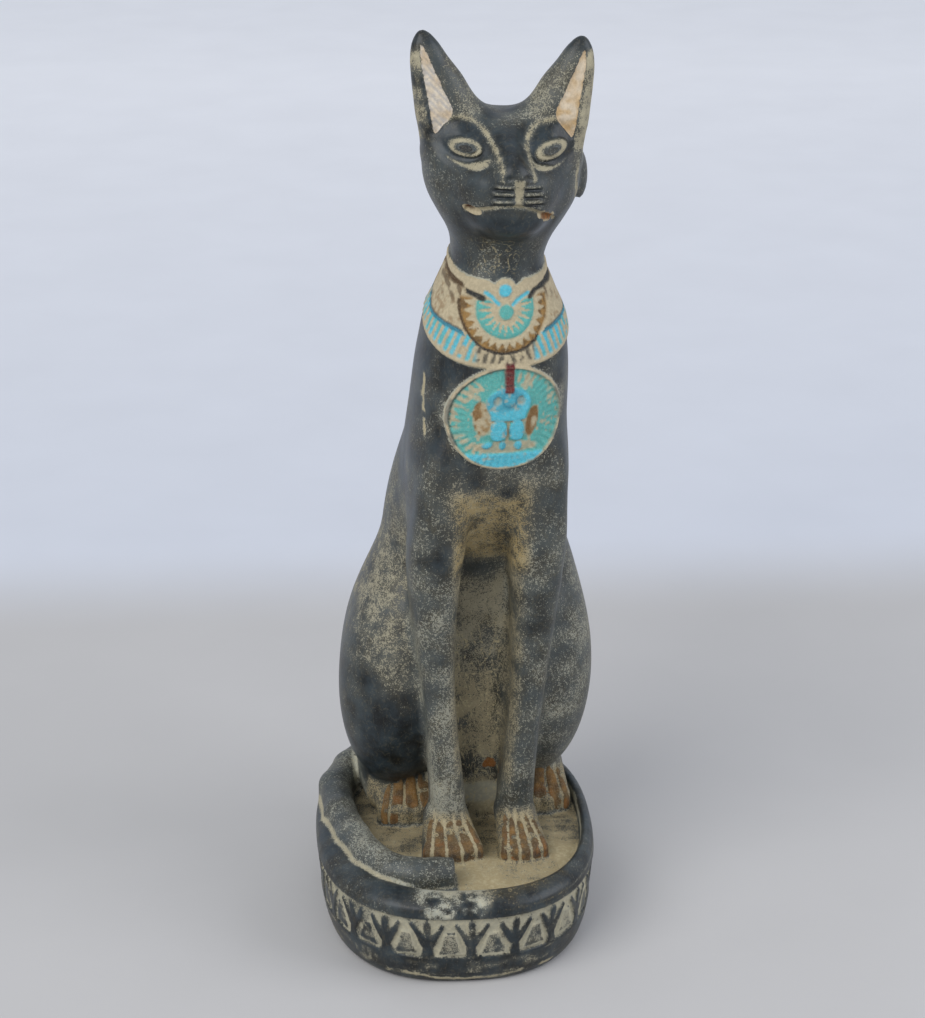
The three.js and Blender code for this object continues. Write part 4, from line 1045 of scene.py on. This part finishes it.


# Dust, its warmth and the share of fine scratches at each corner p of the mesh. near and wide say how
# hollow the stone is there: how far the field 1 and 4 mm off the surface falls short of that distance.
# In a few places the dust stands in for light: kept off for painted shade, and laid on for a painted
# highlight on the nose.
def dustOf(p, normal, slope):
    s = SimpleNamespace(p=p, normal=normal)
    s.qx, s.qy, s.straight, s.x, s.y, s.z = catPlace(*p.T)
    s.side = np.abs(s.straight)
    s.near = np.clip(1 - carving(*(p + normal).T) / slope, 0, 1)
    s.wide = np.clip(1 - carving(*(p + 4 * normal).T) / (4 * slope), 0, 1)
    s.broad, s.mid, s.fine = (lumps(*p.T, size, seed) - 0.5 for size, seed in ((15, 20), (5, 21), (1.6, 22)))
    s.catAway = cat(*p.T)
    s.dust = dustLevels["body"] + 0.3 * s.broad + 0.35 * s.mid
    s.warm = np.full(len(p), 0.08)
    s.scratch = np.full(len(p), 0.06)

    def lay(value, mask, heat=None):
        s.dust = mix(s.dust, value, mask)
        if heat is not None:
            s.warm = mix(s.warm, heat, mask)

    for region in (dustChest, dustLegs, dustHaunches, dustHollows, dustBetweenLegs, dustScratches, dustHead,
                   dustTray, dustRim, dustDrum):
        region(s, lay)
    return (np.clip(v, 0, 1) for v in (s.dust, s.warm, s.scratch))


def dustChest(s, lay):
    x, y, z, mid, fine, chest = s.x, s.y, s.z, s.mid, s.fine, dustLevels["chest"]
    chestOn = ease(186, 178, z) * ease(112, 125, z) * (y < 5)
    lay(chest + 0.5 * mid + 0.3 * s.broad, ease(-6, 4, x) * chestOn)
    lay(0.08 + 0.3 * mid, chestOn * ease(-10, -13, x) * ease(130, 136, z))
    lay(0.03 + 0.3 * mid, chestOn * ease(-19, -17.5, x) * ease(-14, -15.5, x) * ease(170, 160, z))
    halo = ease(1.17, 1.02, medalShare(x, z)) * ease(-2, -10, y)
    lay(chest + 0.02 + 0.6 * mid + 0.4 * fine, 0.8 * halo * ease(6, -4, z - 146 + 0.6 * x))
    below = ease(130, 124, z) * ease(104, 116, z) * ease(20, 12, s.side) * ease(-6, -14, y)
    lay(chest - 0.06 + 0.6 * mid + 0.2 * fine, below, 0.35)


def dustLegs(s, lay):
    z, mid = s.z, s.mid
    s.offLeg = ease(0.6, 2.2, legs(legLean(s.straight, z), s.y, z))
    leg = ease(134, 118, z) * ease(6, 9, z) * (1 - s.offLeg) * ease(4, 7, s.side)
    lay(dustLevels["leg"] + 0.35 * s.broad + 0.4 * mid, leg)
    lay(dustLevels["leg"] + 0.3 * mid, leg * (s.straight > 0) * ease(74, 60, z))
    lay(dustLevels["ankle"] + 0.4 * mid, leg * ease(52, 26, z) * (s.straight < 0) * ease(-4, -10, s.y))


def dustHaunches(s, lay):
    y, z, side, mid, level = s.y, s.z, s.side, s.mid, dustLevels
    flank = ease(122, 100, z + 0.6 * (y - 20)) * s.offLeg * ease(8, 14, side) * ease(10, 14, z)
    nearSide = flank * (s.straight < 0)
    worn = mix(level["haunchLow"], level["haunchHigh"], ease(36, 84, z))
    lay(worn + 0.55 * mid * ease(20, 50, z) + 0.2 * s.broad, nearSide, 0.2)
    lay(level["haunchFar"] + 0.35 * mid, flank * (s.straight > 0))
    lay(level["haunchHigh"] - 0.2 + 0.3 * mid, nearSide * ease(34, 36, side + 0.1 * (y - 20)))
    patch = ease(1.45, 0.45, np.hypot((side - 26) / 13, (z - 74) / 25))
    lay(level["haunchPatch"] + 0.25 * mid + 0.5 * s.fine, nearSide * patch, 0.35)


# Hollows gather dust, but the deep cleft between foreleg and haunch gets none of that, and on the near side
# its dust is taken down to nothing: painted shade in the cleft.
def dustHollows(s, lay):
    y, z = s.y, s.z
    inwards = 0.12 * (72 - z)
    shadedCleft = ease(100, 92, z) * ease(15, 20, z) * s.offLeg
    shadedCleft = shadedCleft * ease(21 + inwards, 19 + inwards, s.side) * (s.side > 9)
    hollow = 0.5 * ease(0.12, 0.5, s.near) + 0.2 * ease(0.3, 0.7, s.wide)
    s.dust = s.dust + hollow * (1 - shadedCleft) * ease(0, 10, z)
    # painted shade: bare black stone in the near cleft
    lay(0.0, 0.85 * shadedCleft * (s.straight < 0) * ease(-6, -2, y) * ease(22, 18, y))


def dustBetweenLegs(s, lay):
    y, z, side, mid, fine = s.y, s.z, s.side, s.mid, s.fine
    inner = ease(9.5, 6.5, side) * ease(-3, 0, y) * ease(97, 92, z) * (y < 30)
    lay(dustLevels["belly"] + 0.6 * mid + 0.3 * fine, inner * ease(50, 70, z), 0.4)
    lay(dustLevels["bellyLow"] + 0.7 * mid + 0.5 * fine, inner * ease(66, 46, z), 0.6)
    lay(0.3 + 0.8 * mid, inner * ease(25, 20, z) * ease(14, 17, z), 0.3)
    lay(0.95 + 1.6 * mid + 0.6 * fine, inner * ease(14, 12.5, z) * ease(5, 7, z), 0.2)
    across = s.normal[:, 0]
    face = ease(0.25, 0.6, np.abs(across)) * ease(13, 9, side) * ease(118, 100, z) * ease(14, 22, z) * (y < 1)
    lay(0.42 + 0.35 * mid + 0.2 * fine, face * (across * s.straight < 0), 0.5)
    web = ease(13.5, 9.5, side) * ease(90, 96, z) * ease(128, 116, z) * ease(6, 2, y)
    ragged = ease(-0.35, 0.1, mid + 0.5 - ease(114, 126, z))
    lay(dustLevels["web"] + 0.4 * mid + 0.5 * fine, web * ragged, 0.9)
    s.scratch = np.maximum(s.scratch, 0.9 * inner * ease(76, 62, z) + 0.3 * web)


# A long scratch down the near shoulder with a gap in it, and fine ones on the throat.
def dustScratches(s, lay):
    x, z, look = s.x, s.z, shoulderScratch
    mark = np.abs(x - look["x"] + 0.5 * (lumps(*s.p.T, 4, 35) - 0.5)) + 0.5 * s.fine
    long = ease(look["top"], look["top"] - 2, z) * ease(look["bottom"], look["bottom"] + 3, z) * (s.y < 0)
    lay(0.95, ease(0.36, 0.05, mark) * long * ease(0.6, 1.2, np.abs(z - look["gap"])), 0.6)
    neck = ease(184, 187, z) * ease(204, 196, z)
    lay(dustLevels["neck"] + 0.3 * s.mid, neck)
    s.scratch = np.maximum(s.scratch, 0.6 * neck * ease(9, 3, np.abs(x + 3)) * ease(198, 194, z))


def dustHead(s, layDust):
    qy, mid, fine = s.qy, s.mid, s.fine
    onHead = ease(194, 200, s.z)
    px, pz = headPlace(s.qx, qy, s.z)
    m = faceMarks(px, qy, pz)

    def lay(value, mask, heat=None):
        layDust(value, onHead * mask, heat)

    brow = ease(9, 16, pz)
    level = mix(dustLevels["head"], dustLevels["brow"], brow)
    lay(level + 0.3 * mid * brow + 0.15 * mid + 0.1 * ease(14, 20, np.abs(px)), 1)
    # No dust on the chin and under the jaw: painted shade beneath the muzzle.
    lay(0.0, ease(-8, -11, pz) * ease(16, 12, np.abs(px)))
    lay(0.02, ease(5, 3.5, np.abs(px - 1)) * ease(14, 11, pz) * ease(2, 3, pz) * ease(-12, -15, qy))
    # No dust in the sunk sockets round the eyes: painted shade there.
    lay(0.02, m["socket"] * (1 - m["eye"]))
    lay(0.18, m["pupil"], 0.1)
    slope = ease(13, 17, pz) * ease(4, 9, np.abs(px)) * ease(2, -2, qy)
    crest = ease(6.0, 1.5, m["inner"]) * ease(28, 20, pz)
    lay(0.27 + 0.25 * mid + 0.2 * crest + 0.03 * (px > 0) * ease(32, 26, pz), slope, 0.25)
    lay(np.where(px > 0, 0.92, 0.3 - 0.2 * ease(28, 34, pz)) + 1.1 * mid + 0.6 * fine, m["strip"], 0.4)
    lay(0.06 + 0.3 * mid, ease(32.0, 34.5, pz))
    lay(0.0, m["groove"])
    lobe = ease(1.0, 0.2, np.abs(px - 20.6)) * ease(-10.5, -7, pz) * ease(5, 1, pz) * ease(3, 0, qy)
    lay(0.6 + fine, lobe, 0.5)
    # The pale spot on top of the nose is a painted highlight; the ends of the pads under the eyes are dusty.
    lay(0.45 + 0.5 * fine, np.maximum(0.4 * m["noseHighlight"], 0.35 * m["bagEnd"]), 0.3)
    lay(0.72 + 0.5 * fine, m["brow"], 0.5)
    drawn = np.maximum.reduce([0.9 * m["ring"], 0.85 * m["bag"], 0.9 * m["philtrum"], 0.9 * m["mouth"]])
    lay(0.84 + 0.5 * fine, drawn, 0.5)
    lay(0.5, m["ridge"] * (1 - m["philtrum"]), 0.2)
    lay(0.0, m["whisker"])


# The tray's sand with streaks across it, thicker in front, and dust about the paws and between the toes.
def dustTray(s, lay):
    p, y, z, side, mid, fine = s.p, s.y, s.z, s.side, s.mid, s.fine
    s.tray = ease(2.2, 0.6, z) * ease(-0.9, -0.3, z) * ease(0.5, 0.8, s.normal[:, 2])
    streak = lumps(p[:, 0] * 0.16 + 0.1 * p[:, 1], p[:, 1], p[:, 2], 1.5, 31) - 0.5
    sand = dustLevels["tray"] - 0.2 + 0.48 * ease(-12, -24, y) + 0.4 * mid + 0.25 * streak
    lay(sand + 0.25 * s.broad + 0.2 * fine, s.tray, 0.72)
    fore = ease(13, 9, z) * ease(-0.5, 0.5, z) * ease(-8, -12, y) * ease(21, 19, side)
    lay(0.5 + 0.3 * mid, fore, 0.8)
    hind = ease(16, 12, z) * ease(0.5, 2, z) * ease(14, 10, y) * ease(-5, -2, y)
    hind = hind * (side > 13) * (s.catAway < 1)
    lay(0.55 + 0.3 * mid, hind, 0.75)
    places = ((-s.straight, "foreRight", fore), (s.straight, "foreLeft", fore),
              (side, "hind", 0.6 * hind * ease(10, 5, z)))
    grooves = [toeMarks(u, y, paws[name])[0] * mask for u, name, mask in places]
    lay(0.75 + 0.5 * fine, np.maximum.reduce(grooves), 0.6)


# The polished rim with a worn patch in front, the tail, and the line of dust along the tail's seam.
def dustRim(s, lay):
    p, z, mid, fine = s.p, s.z, s.mid, s.fine
    wx, wy, height = p.T
    tailAway, plinthAway = np.abs(tail(*p.T)), np.abs(plinth(*p.T))
    rim = ease(plinthHeight - 5.5, plinthHeight - 4, height) * ease(6, 3, z)
    rim = rim * (1 - s.tray) * (s.catAway > 1.2)
    rimTop = ease(plinthHeight - 3.6, plinthHeight - 2.2, height)
    lay(dustLevels["rim"] + 0.2 * mid + 0.7 * rimTop * ease(0.1, 0.5, s.near), rim)
    worn = ease(-17, -11, wx) * ease(11, 4, wx) * ease(-30, -40, wy)
    lay(np.clip(1.5 * rimShare(wx, wy) + 0.12 + 1.2 * mid + 1.1 * fine, 0, 1), rim * worn, 0.0)
    onTail = ease(1.5, 0.3, tailAway) * (s.catAway > 0.8)
    tailDust = dustLevels["tail"] - 0.14 * ease(-20, -9, wx) * (wy < 0)
    lay(tailDust + 0.3 * s.broad + 0.3 * mid + 0.75 * ease(0.12, 0.5, s.near), onTail, 0.04)
    seam = ease(1.3, 0.5, np.maximum(tailAway, plinthAway) + 0.5 * fine)
    lay(0.85 + 0.4 * fine, seam * ease(plinthHeight - 4, plinthHeight - 2, height) * (z < 8), 0.4)


# Dust in the ground of the frieze and on its mounds, and one wandering line round the foot.
def dustDrum(s, lay):
    p, mid, fine = s.p, s.mid, s.fine
    wx, wy, height = p.T
    m = friezeMarks(*p.T)
    ground = 1.0 - 0.58 * m["moundCore"] + 0.6 * mid + 0.5 * fine - 0.3 * ease(-4, -34, wx)
    ground = ground - 0.15 * ease(0.75, 0.95, m["share"])
    flower = 0.02 + 0.5 * np.maximum(fine + mid, 0)
    lay(mix(ground, flower, m["flower"]), m["here"] * (np.abs(s.normal[:, 2]) < 0.8), 0.25)
    foot = ease(plinthSizes["footBand"] + 0.3, plinthSizes["footBand"] - 0.3, height)
    hatch = lumps(wx * 0.2, wy * 0.2, height * 1.3, 1.2, 33)
    lay(dustLevels["foot"] + 0.1 * mid + 0.4 * ease(0.6, 0.85, hatch), foot, 0.3)
    line = np.abs(height - 2.6 - 2.4 * (lumps(wx, wy, wx * 0, 7, 34) - 0.5))
    shown = np.maximum(ease(0, -0.25, mid - 0.1), ease(20, 14, np.abs(wx + 2)))
    lay(0.9, foot * ease(0.7, 0.2, line + 0.8 * fine) * shown * ease(-10, -30, wy), 0.5)


# A mesh of triangles f over points p, given in mm and stored in metres.
def meshObject(name, p, f):
    mesh = bpy.data.meshes.new(name)
    mesh.vertices.add(len(p))
    mesh.vertices.foreach_set("co", (p * mm).astype(np.float32).ravel())
    mesh.loops.add(len(f) * 3)
    mesh.loops.foreach_set("vertex_index", f.astype(np.int32).ravel())
    mesh.polygons.add(len(f))
    mesh.polygons.foreach_set("loop_start", np.arange(0, len(f) * 3, 3, dtype=np.int32))
    mesh.polygons.foreach_set("use_smooth", np.ones(len(f), bool))
    mesh.update(calc_edges=True)
    mesh.validate()
    obj = bpy.data.objects.new(name, mesh)
    bpy.context.scene.collection.objects.link(obj)
    return obj


# One value, or one colour with its cover, per corner of the mesh.
def attribute(obj, name, values):
    kind, field = ("FLOAT_COLOR", "color") if values.ndim == 2 else ("FLOAT", "value")
    layer = obj.data.attributes.new(name, kind, "POINT")
    layer.data.foreach_set(field, values.astype(np.float32).ravel())


def newMaterial(name):
    material = bpy.data.materials.new(name)
    material.use_nodes = True
    tree = material.node_tree
    return material, tree, tree.nodes["Principled BSDF"]


# Adds a node. Settings are its properties, links its inputs: a socket to link from, or a plain value.
def add(tree, kind, settings=None, links=None, out=0):
    node = tree.nodes.new("ShaderNode" + kind)
    for key, value in (settings or {}).items():
        setattr(node, key, value)
    for key, value in (links or {}).items():
        socket = node.inputs[key]
        if isinstance(value, bpy.types.NodeSocket):
            tree.links.new(value, socket)
        else:
            socket.default_value = value
    return node.outputs[out]


def colour4(hexColour):
    return (*linear(hexColour), 1)


# Soapstone rubbed with black wax: charcoal with a blue cast, mottled, half polished. Dust is matt.
stoneLook = {
    "dark": "#0e1010", "light": "#2c363b", "crystal": "#6a6e6c",
    "dustGrey": "#a5a596", "dustWarm": "#a28d5e", "dustPale": "#cfc4a2", "scratch": "#b8ab86",
    "paintWorn": "#d8ceb0", "paintDirt": "#3a3226",
    "roughness": 0.28, "specular": 0.36, "bump": 0.0003,
    "grain": 0.36, "grit": 1.0, "mottle": 7.0,  # sizes in mm
}


def stoneMaterial():
    look = stoneLook
    material, tree, shader = newMaterial("waxed_soapstone")
    place = add(tree, "TexCoord", out=3)
    dust, warm, scratch = (
        add(tree, "Attribute", {"attribute_name": name}, out=2) for name in ("dust", "warm", "scratch"))
    paint = add(tree, "Attribute", {"attribute_name": "paint"})
    cover = add(tree, "Attribute", {"attribute_name": "paint"}, out=3)

    def noise(size, detail, rough, source=place):
        return add(tree, "TexNoise", None, {
            "Vector": source, "Scale": 1000 / size, "Detail": detail, "Roughness": rough})

    def band(value, start, end):
        return add(tree, "MapRange", {"interpolation_type": "SMOOTHSTEP"}, {
            "Value": value, "From Min": start, "From Max": end})

    def maths(operation, a, b, clampIt=False):
        return add(tree, "Math", {"operation": operation, "use_clamp": clampIt}, {0: a, 1: b})

    def times(a, b):
        return maths("MULTIPLY", a, b)

    def plus(a, b, clampIt=False):
        return maths("ADD", a, b, clampIt)

    # 0, 6 and 7 are the Mix node's factor and its two colours, and 2 is its colour out
    def blend(factor, a, b):
        a, b = (colour4(c) if isinstance(c, str) else c for c in (a, b))
        return add(tree, "Mix", {"data_type": "RGBA"}, {0: factor, 6: a, 7: b}, 2)

    # thin wandering lines where a stretched noise passes its middle value
    def lines(size, width, stretch, turn):
        source = add(tree, "Mapping", None, {
            "Vector": place, "Scale": (1.0, 1.0, stretch), "Rotation": (0, turn, 0)})
        away = maths("ABSOLUTE", maths("SUBTRACT", noise(size, 1.5, 0.5, source), 0.5), 0.0)
        return band(away, width, 0.0)

    mottle = noise(look["mottle"], 5, 0.6)
    grain = noise(look["grain"], 2, 0.6)
    grit = noise(look["grit"], 3, 0.65)
    stone = blend(band(mottle, 0.3, 0.72), look["dark"], look["light"])
    stone = blend(times(band(grain, 0.56, 0.72), 0.1), stone, look["crystal"])
    dustColour = blend(warm, look["dustGrey"], look["dustWarm"])
    dustColour = blend(times(band(grit, 0.4, 0.7), 0.4), dustColour, look["dustPale"])
    # a place is dusty where a spread-out noise is under the share of dust there
    spread = plus(times(band(grain, 0.36, 0.64), 0.45), times(band(grit, 0.33, 0.67), 0.4))
    spread = plus(spread, times(band(mottle, 0.3, 0.7), 0.15))
    specks = band(maths("SUBTRACT", dust, spread), -0.13, 0.13)
    dusty = plus(times(specks, 0.62), times(dust, 0.33), True)
    cuts = maths("MAXIMUM", lines(3.4, 0.04, 0.4, 0.7), lines(2.6, 0.04, 0.35, -0.9))
    cuts = times(times(cuts, band(grit, 0.45, 0.6)), scratch)
    base = blend(dusty, stone, dustColour)
    base = blend(cuts, base, look["scratch"])
    # paint is worn pale on the grain, dirty in the grit, and chipped where its cover is thin
    painted = blend(times(band(grain, 0.42, 0.66), 0.35), paint, blend(0.3, paint, look["paintWorn"]))
    painted = blend(times(band(grit, 0.6, 0.42), 0.3), painted, blend(0.5, paint, look["paintDirt"]))
    chips = band(plus(times(cover, 1.3), times(grain, 0.5)), 0.78, 1.0)
    base = blend(chips, base, painted)
    tree.links.new(base, shader.inputs["Base Color"])
    matt = maths("MAXIMUM", dusty, chips)
    rough = plus(times(matt, 0.45), times(grit, 0.16))
    tree.links.new(plus(rough, look["roughness"], True), shader.inputs["Roughness"])
    shader.inputs["Specular IOR Level"].default_value = look["specular"]
    height = plus(times(grain, matt), times(grit, plus(matt, 0.25)))
    bump = add(tree, "Bump", None, {"Strength": 0.55, "Distance": look["bump"], "Height": height})
    tree.links.new(bump, shader.inputs["Normal"])
    return material


def buildFigure():
    p, f = figureMesh()
    g = slopeOf(carving, p)
    slope = np.maximum(np.linalg.norm(g, axis=1), 0.2)
    figure = meshObject("bastet_cat", p, f)
    colour, cover = paintOf(p)
    dust, warm, scratch = dustOf(p, g / slope[:, None], slope)
    attribute(figure, "paint", np.concatenate([colour, cover[:, None]], 1))
    attribute(figure, "dust", dust)
    attribute(figure, "warm", warm)
    attribute(figure, "scratch", scratch)
    figure.data.materials.append(stoneMaterial())
    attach(figure, "root")
    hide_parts("bastet_cat_figure")
    print("figure done")


# A wide matt floor, pale grey near the figure and a little paler and bluer behind it. Places in metres.
roomLook = {
    "near": "#bab8b6", "far": "#ced1d8", "end": "#fbfbfd", "reach": 12.0,
    "edge": (0.2, 0.29), "paintedLightDepths": (0.3, 1.2),  # depths over which the tone changes
    "cloud": 18.0, "roughness": 0.9,
}


def buildRoom():
    look, reach = roomLook, roomLook["reach"]
    mesh = bpy.data.meshes.new("room")
    corners = [(-reach, -reach, 0), (reach, -reach, 0), (reach, reach, 0), (-reach, reach, 0)]
    mesh.from_pydata(corners, [], [(0, 1, 2, 3)])
    room = bpy.data.objects.new("room", mesh)
    bpy.context.scene.collection.objects.link(room)
    material, tree, shader = newMaterial("pale_table")
    place = add(tree, "TexCoord", out=3)
    depth = add(tree, "SeparateXYZ", None, {0: place}, 1)

    def mixed(factor, a, b, settings=None):
        return add(tree, "Mix", {"data_type": "RGBA", **(settings or {})}, {0: factor, 6: a, 7: b}, 2)

    behind = add(tree, "MapRange", {"interpolation_type": "SMOOTHSTEP"}, {
        "Value": depth, "From Min": look["edge"][0], "From Max": look["edge"][1]})
    # Farther back the floor turns towards near-white: painted light that keeps it bright where the lamps'
    # light falls off.
    paintedLightShare = add(tree, "MapRange", None, {
        "Value": depth, "From Min": look["paintedLightDepths"][0], "From Max": look["paintedLightDepths"][1]})
    base = mixed(behind, colour4(look["near"]), colour4(look["far"]))
    base = mixed(paintedLightShare, base, colour4(look["end"]))
    cloudy = add(tree, "TexNoise", None, {"Vector": place, "Scale": look["cloud"], "Detail": 5.0})
    tone = add(tree, "MapRange", None, {"Value": cloudy, "To Min": 0.96, "To Max": 1.04})
    pale = mixed(1.0, base, tone, {"blend_type": "MULTIPLY"})
    tree.links.new(pale, shader.inputs["Base Color"])
    shader.inputs["Roughness"].default_value = look["roughness"]
    mesh.materials.append(material)
    print("room done")


# Soft daylight: a large window on the left and front, a weaker one on the right, an even sky.
lightLook = {
    "window": {"at": (-0.9, -0.9, 1.1), "size": 1.2, "power": 17.0, "tint": "#ffffff"},
    "side": {"at": (1.0, -0.35, 0.7), "size": 0.8, "power": 6.0, "tint": "#f6f8ff"},
    "aim": (0, 0, 0.13), "sky": "#dfe5f0", "skyPower": 0.75,
}


def buildLights():
    for name in ("window", "side"):
        look = lightLook[name]
        light = bpy.data.lights.new(name, "AREA")
        light.size, light.energy = look["size"], look["power"]
        light.color = linear(look["tint"])
        obj = bpy.data.objects.new(name, light)
        obj.location = look["at"]
        aim = Vector(lightLook["aim"]) - Vector(look["at"])
        obj.rotation_mode = "QUATERNION"
        obj.rotation_quaternion = aim.to_track_quat("-Z", "Y")
        bpy.context.scene.collection.objects.link(obj)
    world = bpy.data.worlds.new("sky")
    world.use_nodes = True
    sky = world.node_tree.nodes["Background"]
    sky.inputs[0].default_value = colour4(lightLook["sky"])
    sky.inputs[1].default_value = lightLook["skyPower"]
    bpy.context.scene.world = world
    print("lights done")


# Camera of the photograph: 22 degrees above the table, 0.72 m from a point 140 mm up the axis. Focal
# length and shift are in pixels of the frame.
cameraLook = {
    "azimuth": -4.0, "height": 22.0, "distance": 0.72, "aim": 0.140,
    "focal": 2410, "shift": (9, -22), "frame": (925, 1018),
}


def buildCamera():
    a, e = math.radians(cameraLook["azimuth"]), math.radians(cameraLook["height"])
    back = Vector((math.sin(a) * math.cos(e), -math.cos(a) * math.cos(e), math.sin(e)))
    data = bpy.data.cameras.new("camera")
    longSide = max(cameraLook["frame"])
    data.sensor_width = 36
    data.lens = cameraLook["focal"] / longSide * 36
    data.shift_x, data.shift_y = (s / longSide for s in cameraLook["shift"])
    camera = bpy.data.objects.new("camera", data)
    camera.location = Vector((0, 0, cameraLook["aim"])) + back * cameraLook["distance"]
    camera.rotation_mode = "QUATERNION"
    camera.rotation_quaternion = (-back).to_track_quat("-Z", "Y")
    bpy.context.scene.collection.objects.link(camera)
    bpy.context.scene.camera = camera
    print("camera done")


buildCamera()
buildFigure()
buildRoom()
buildLights()
bpy.context.scene.view_settings.view_transform = "Standard"

bpy.context.view_layer.update()
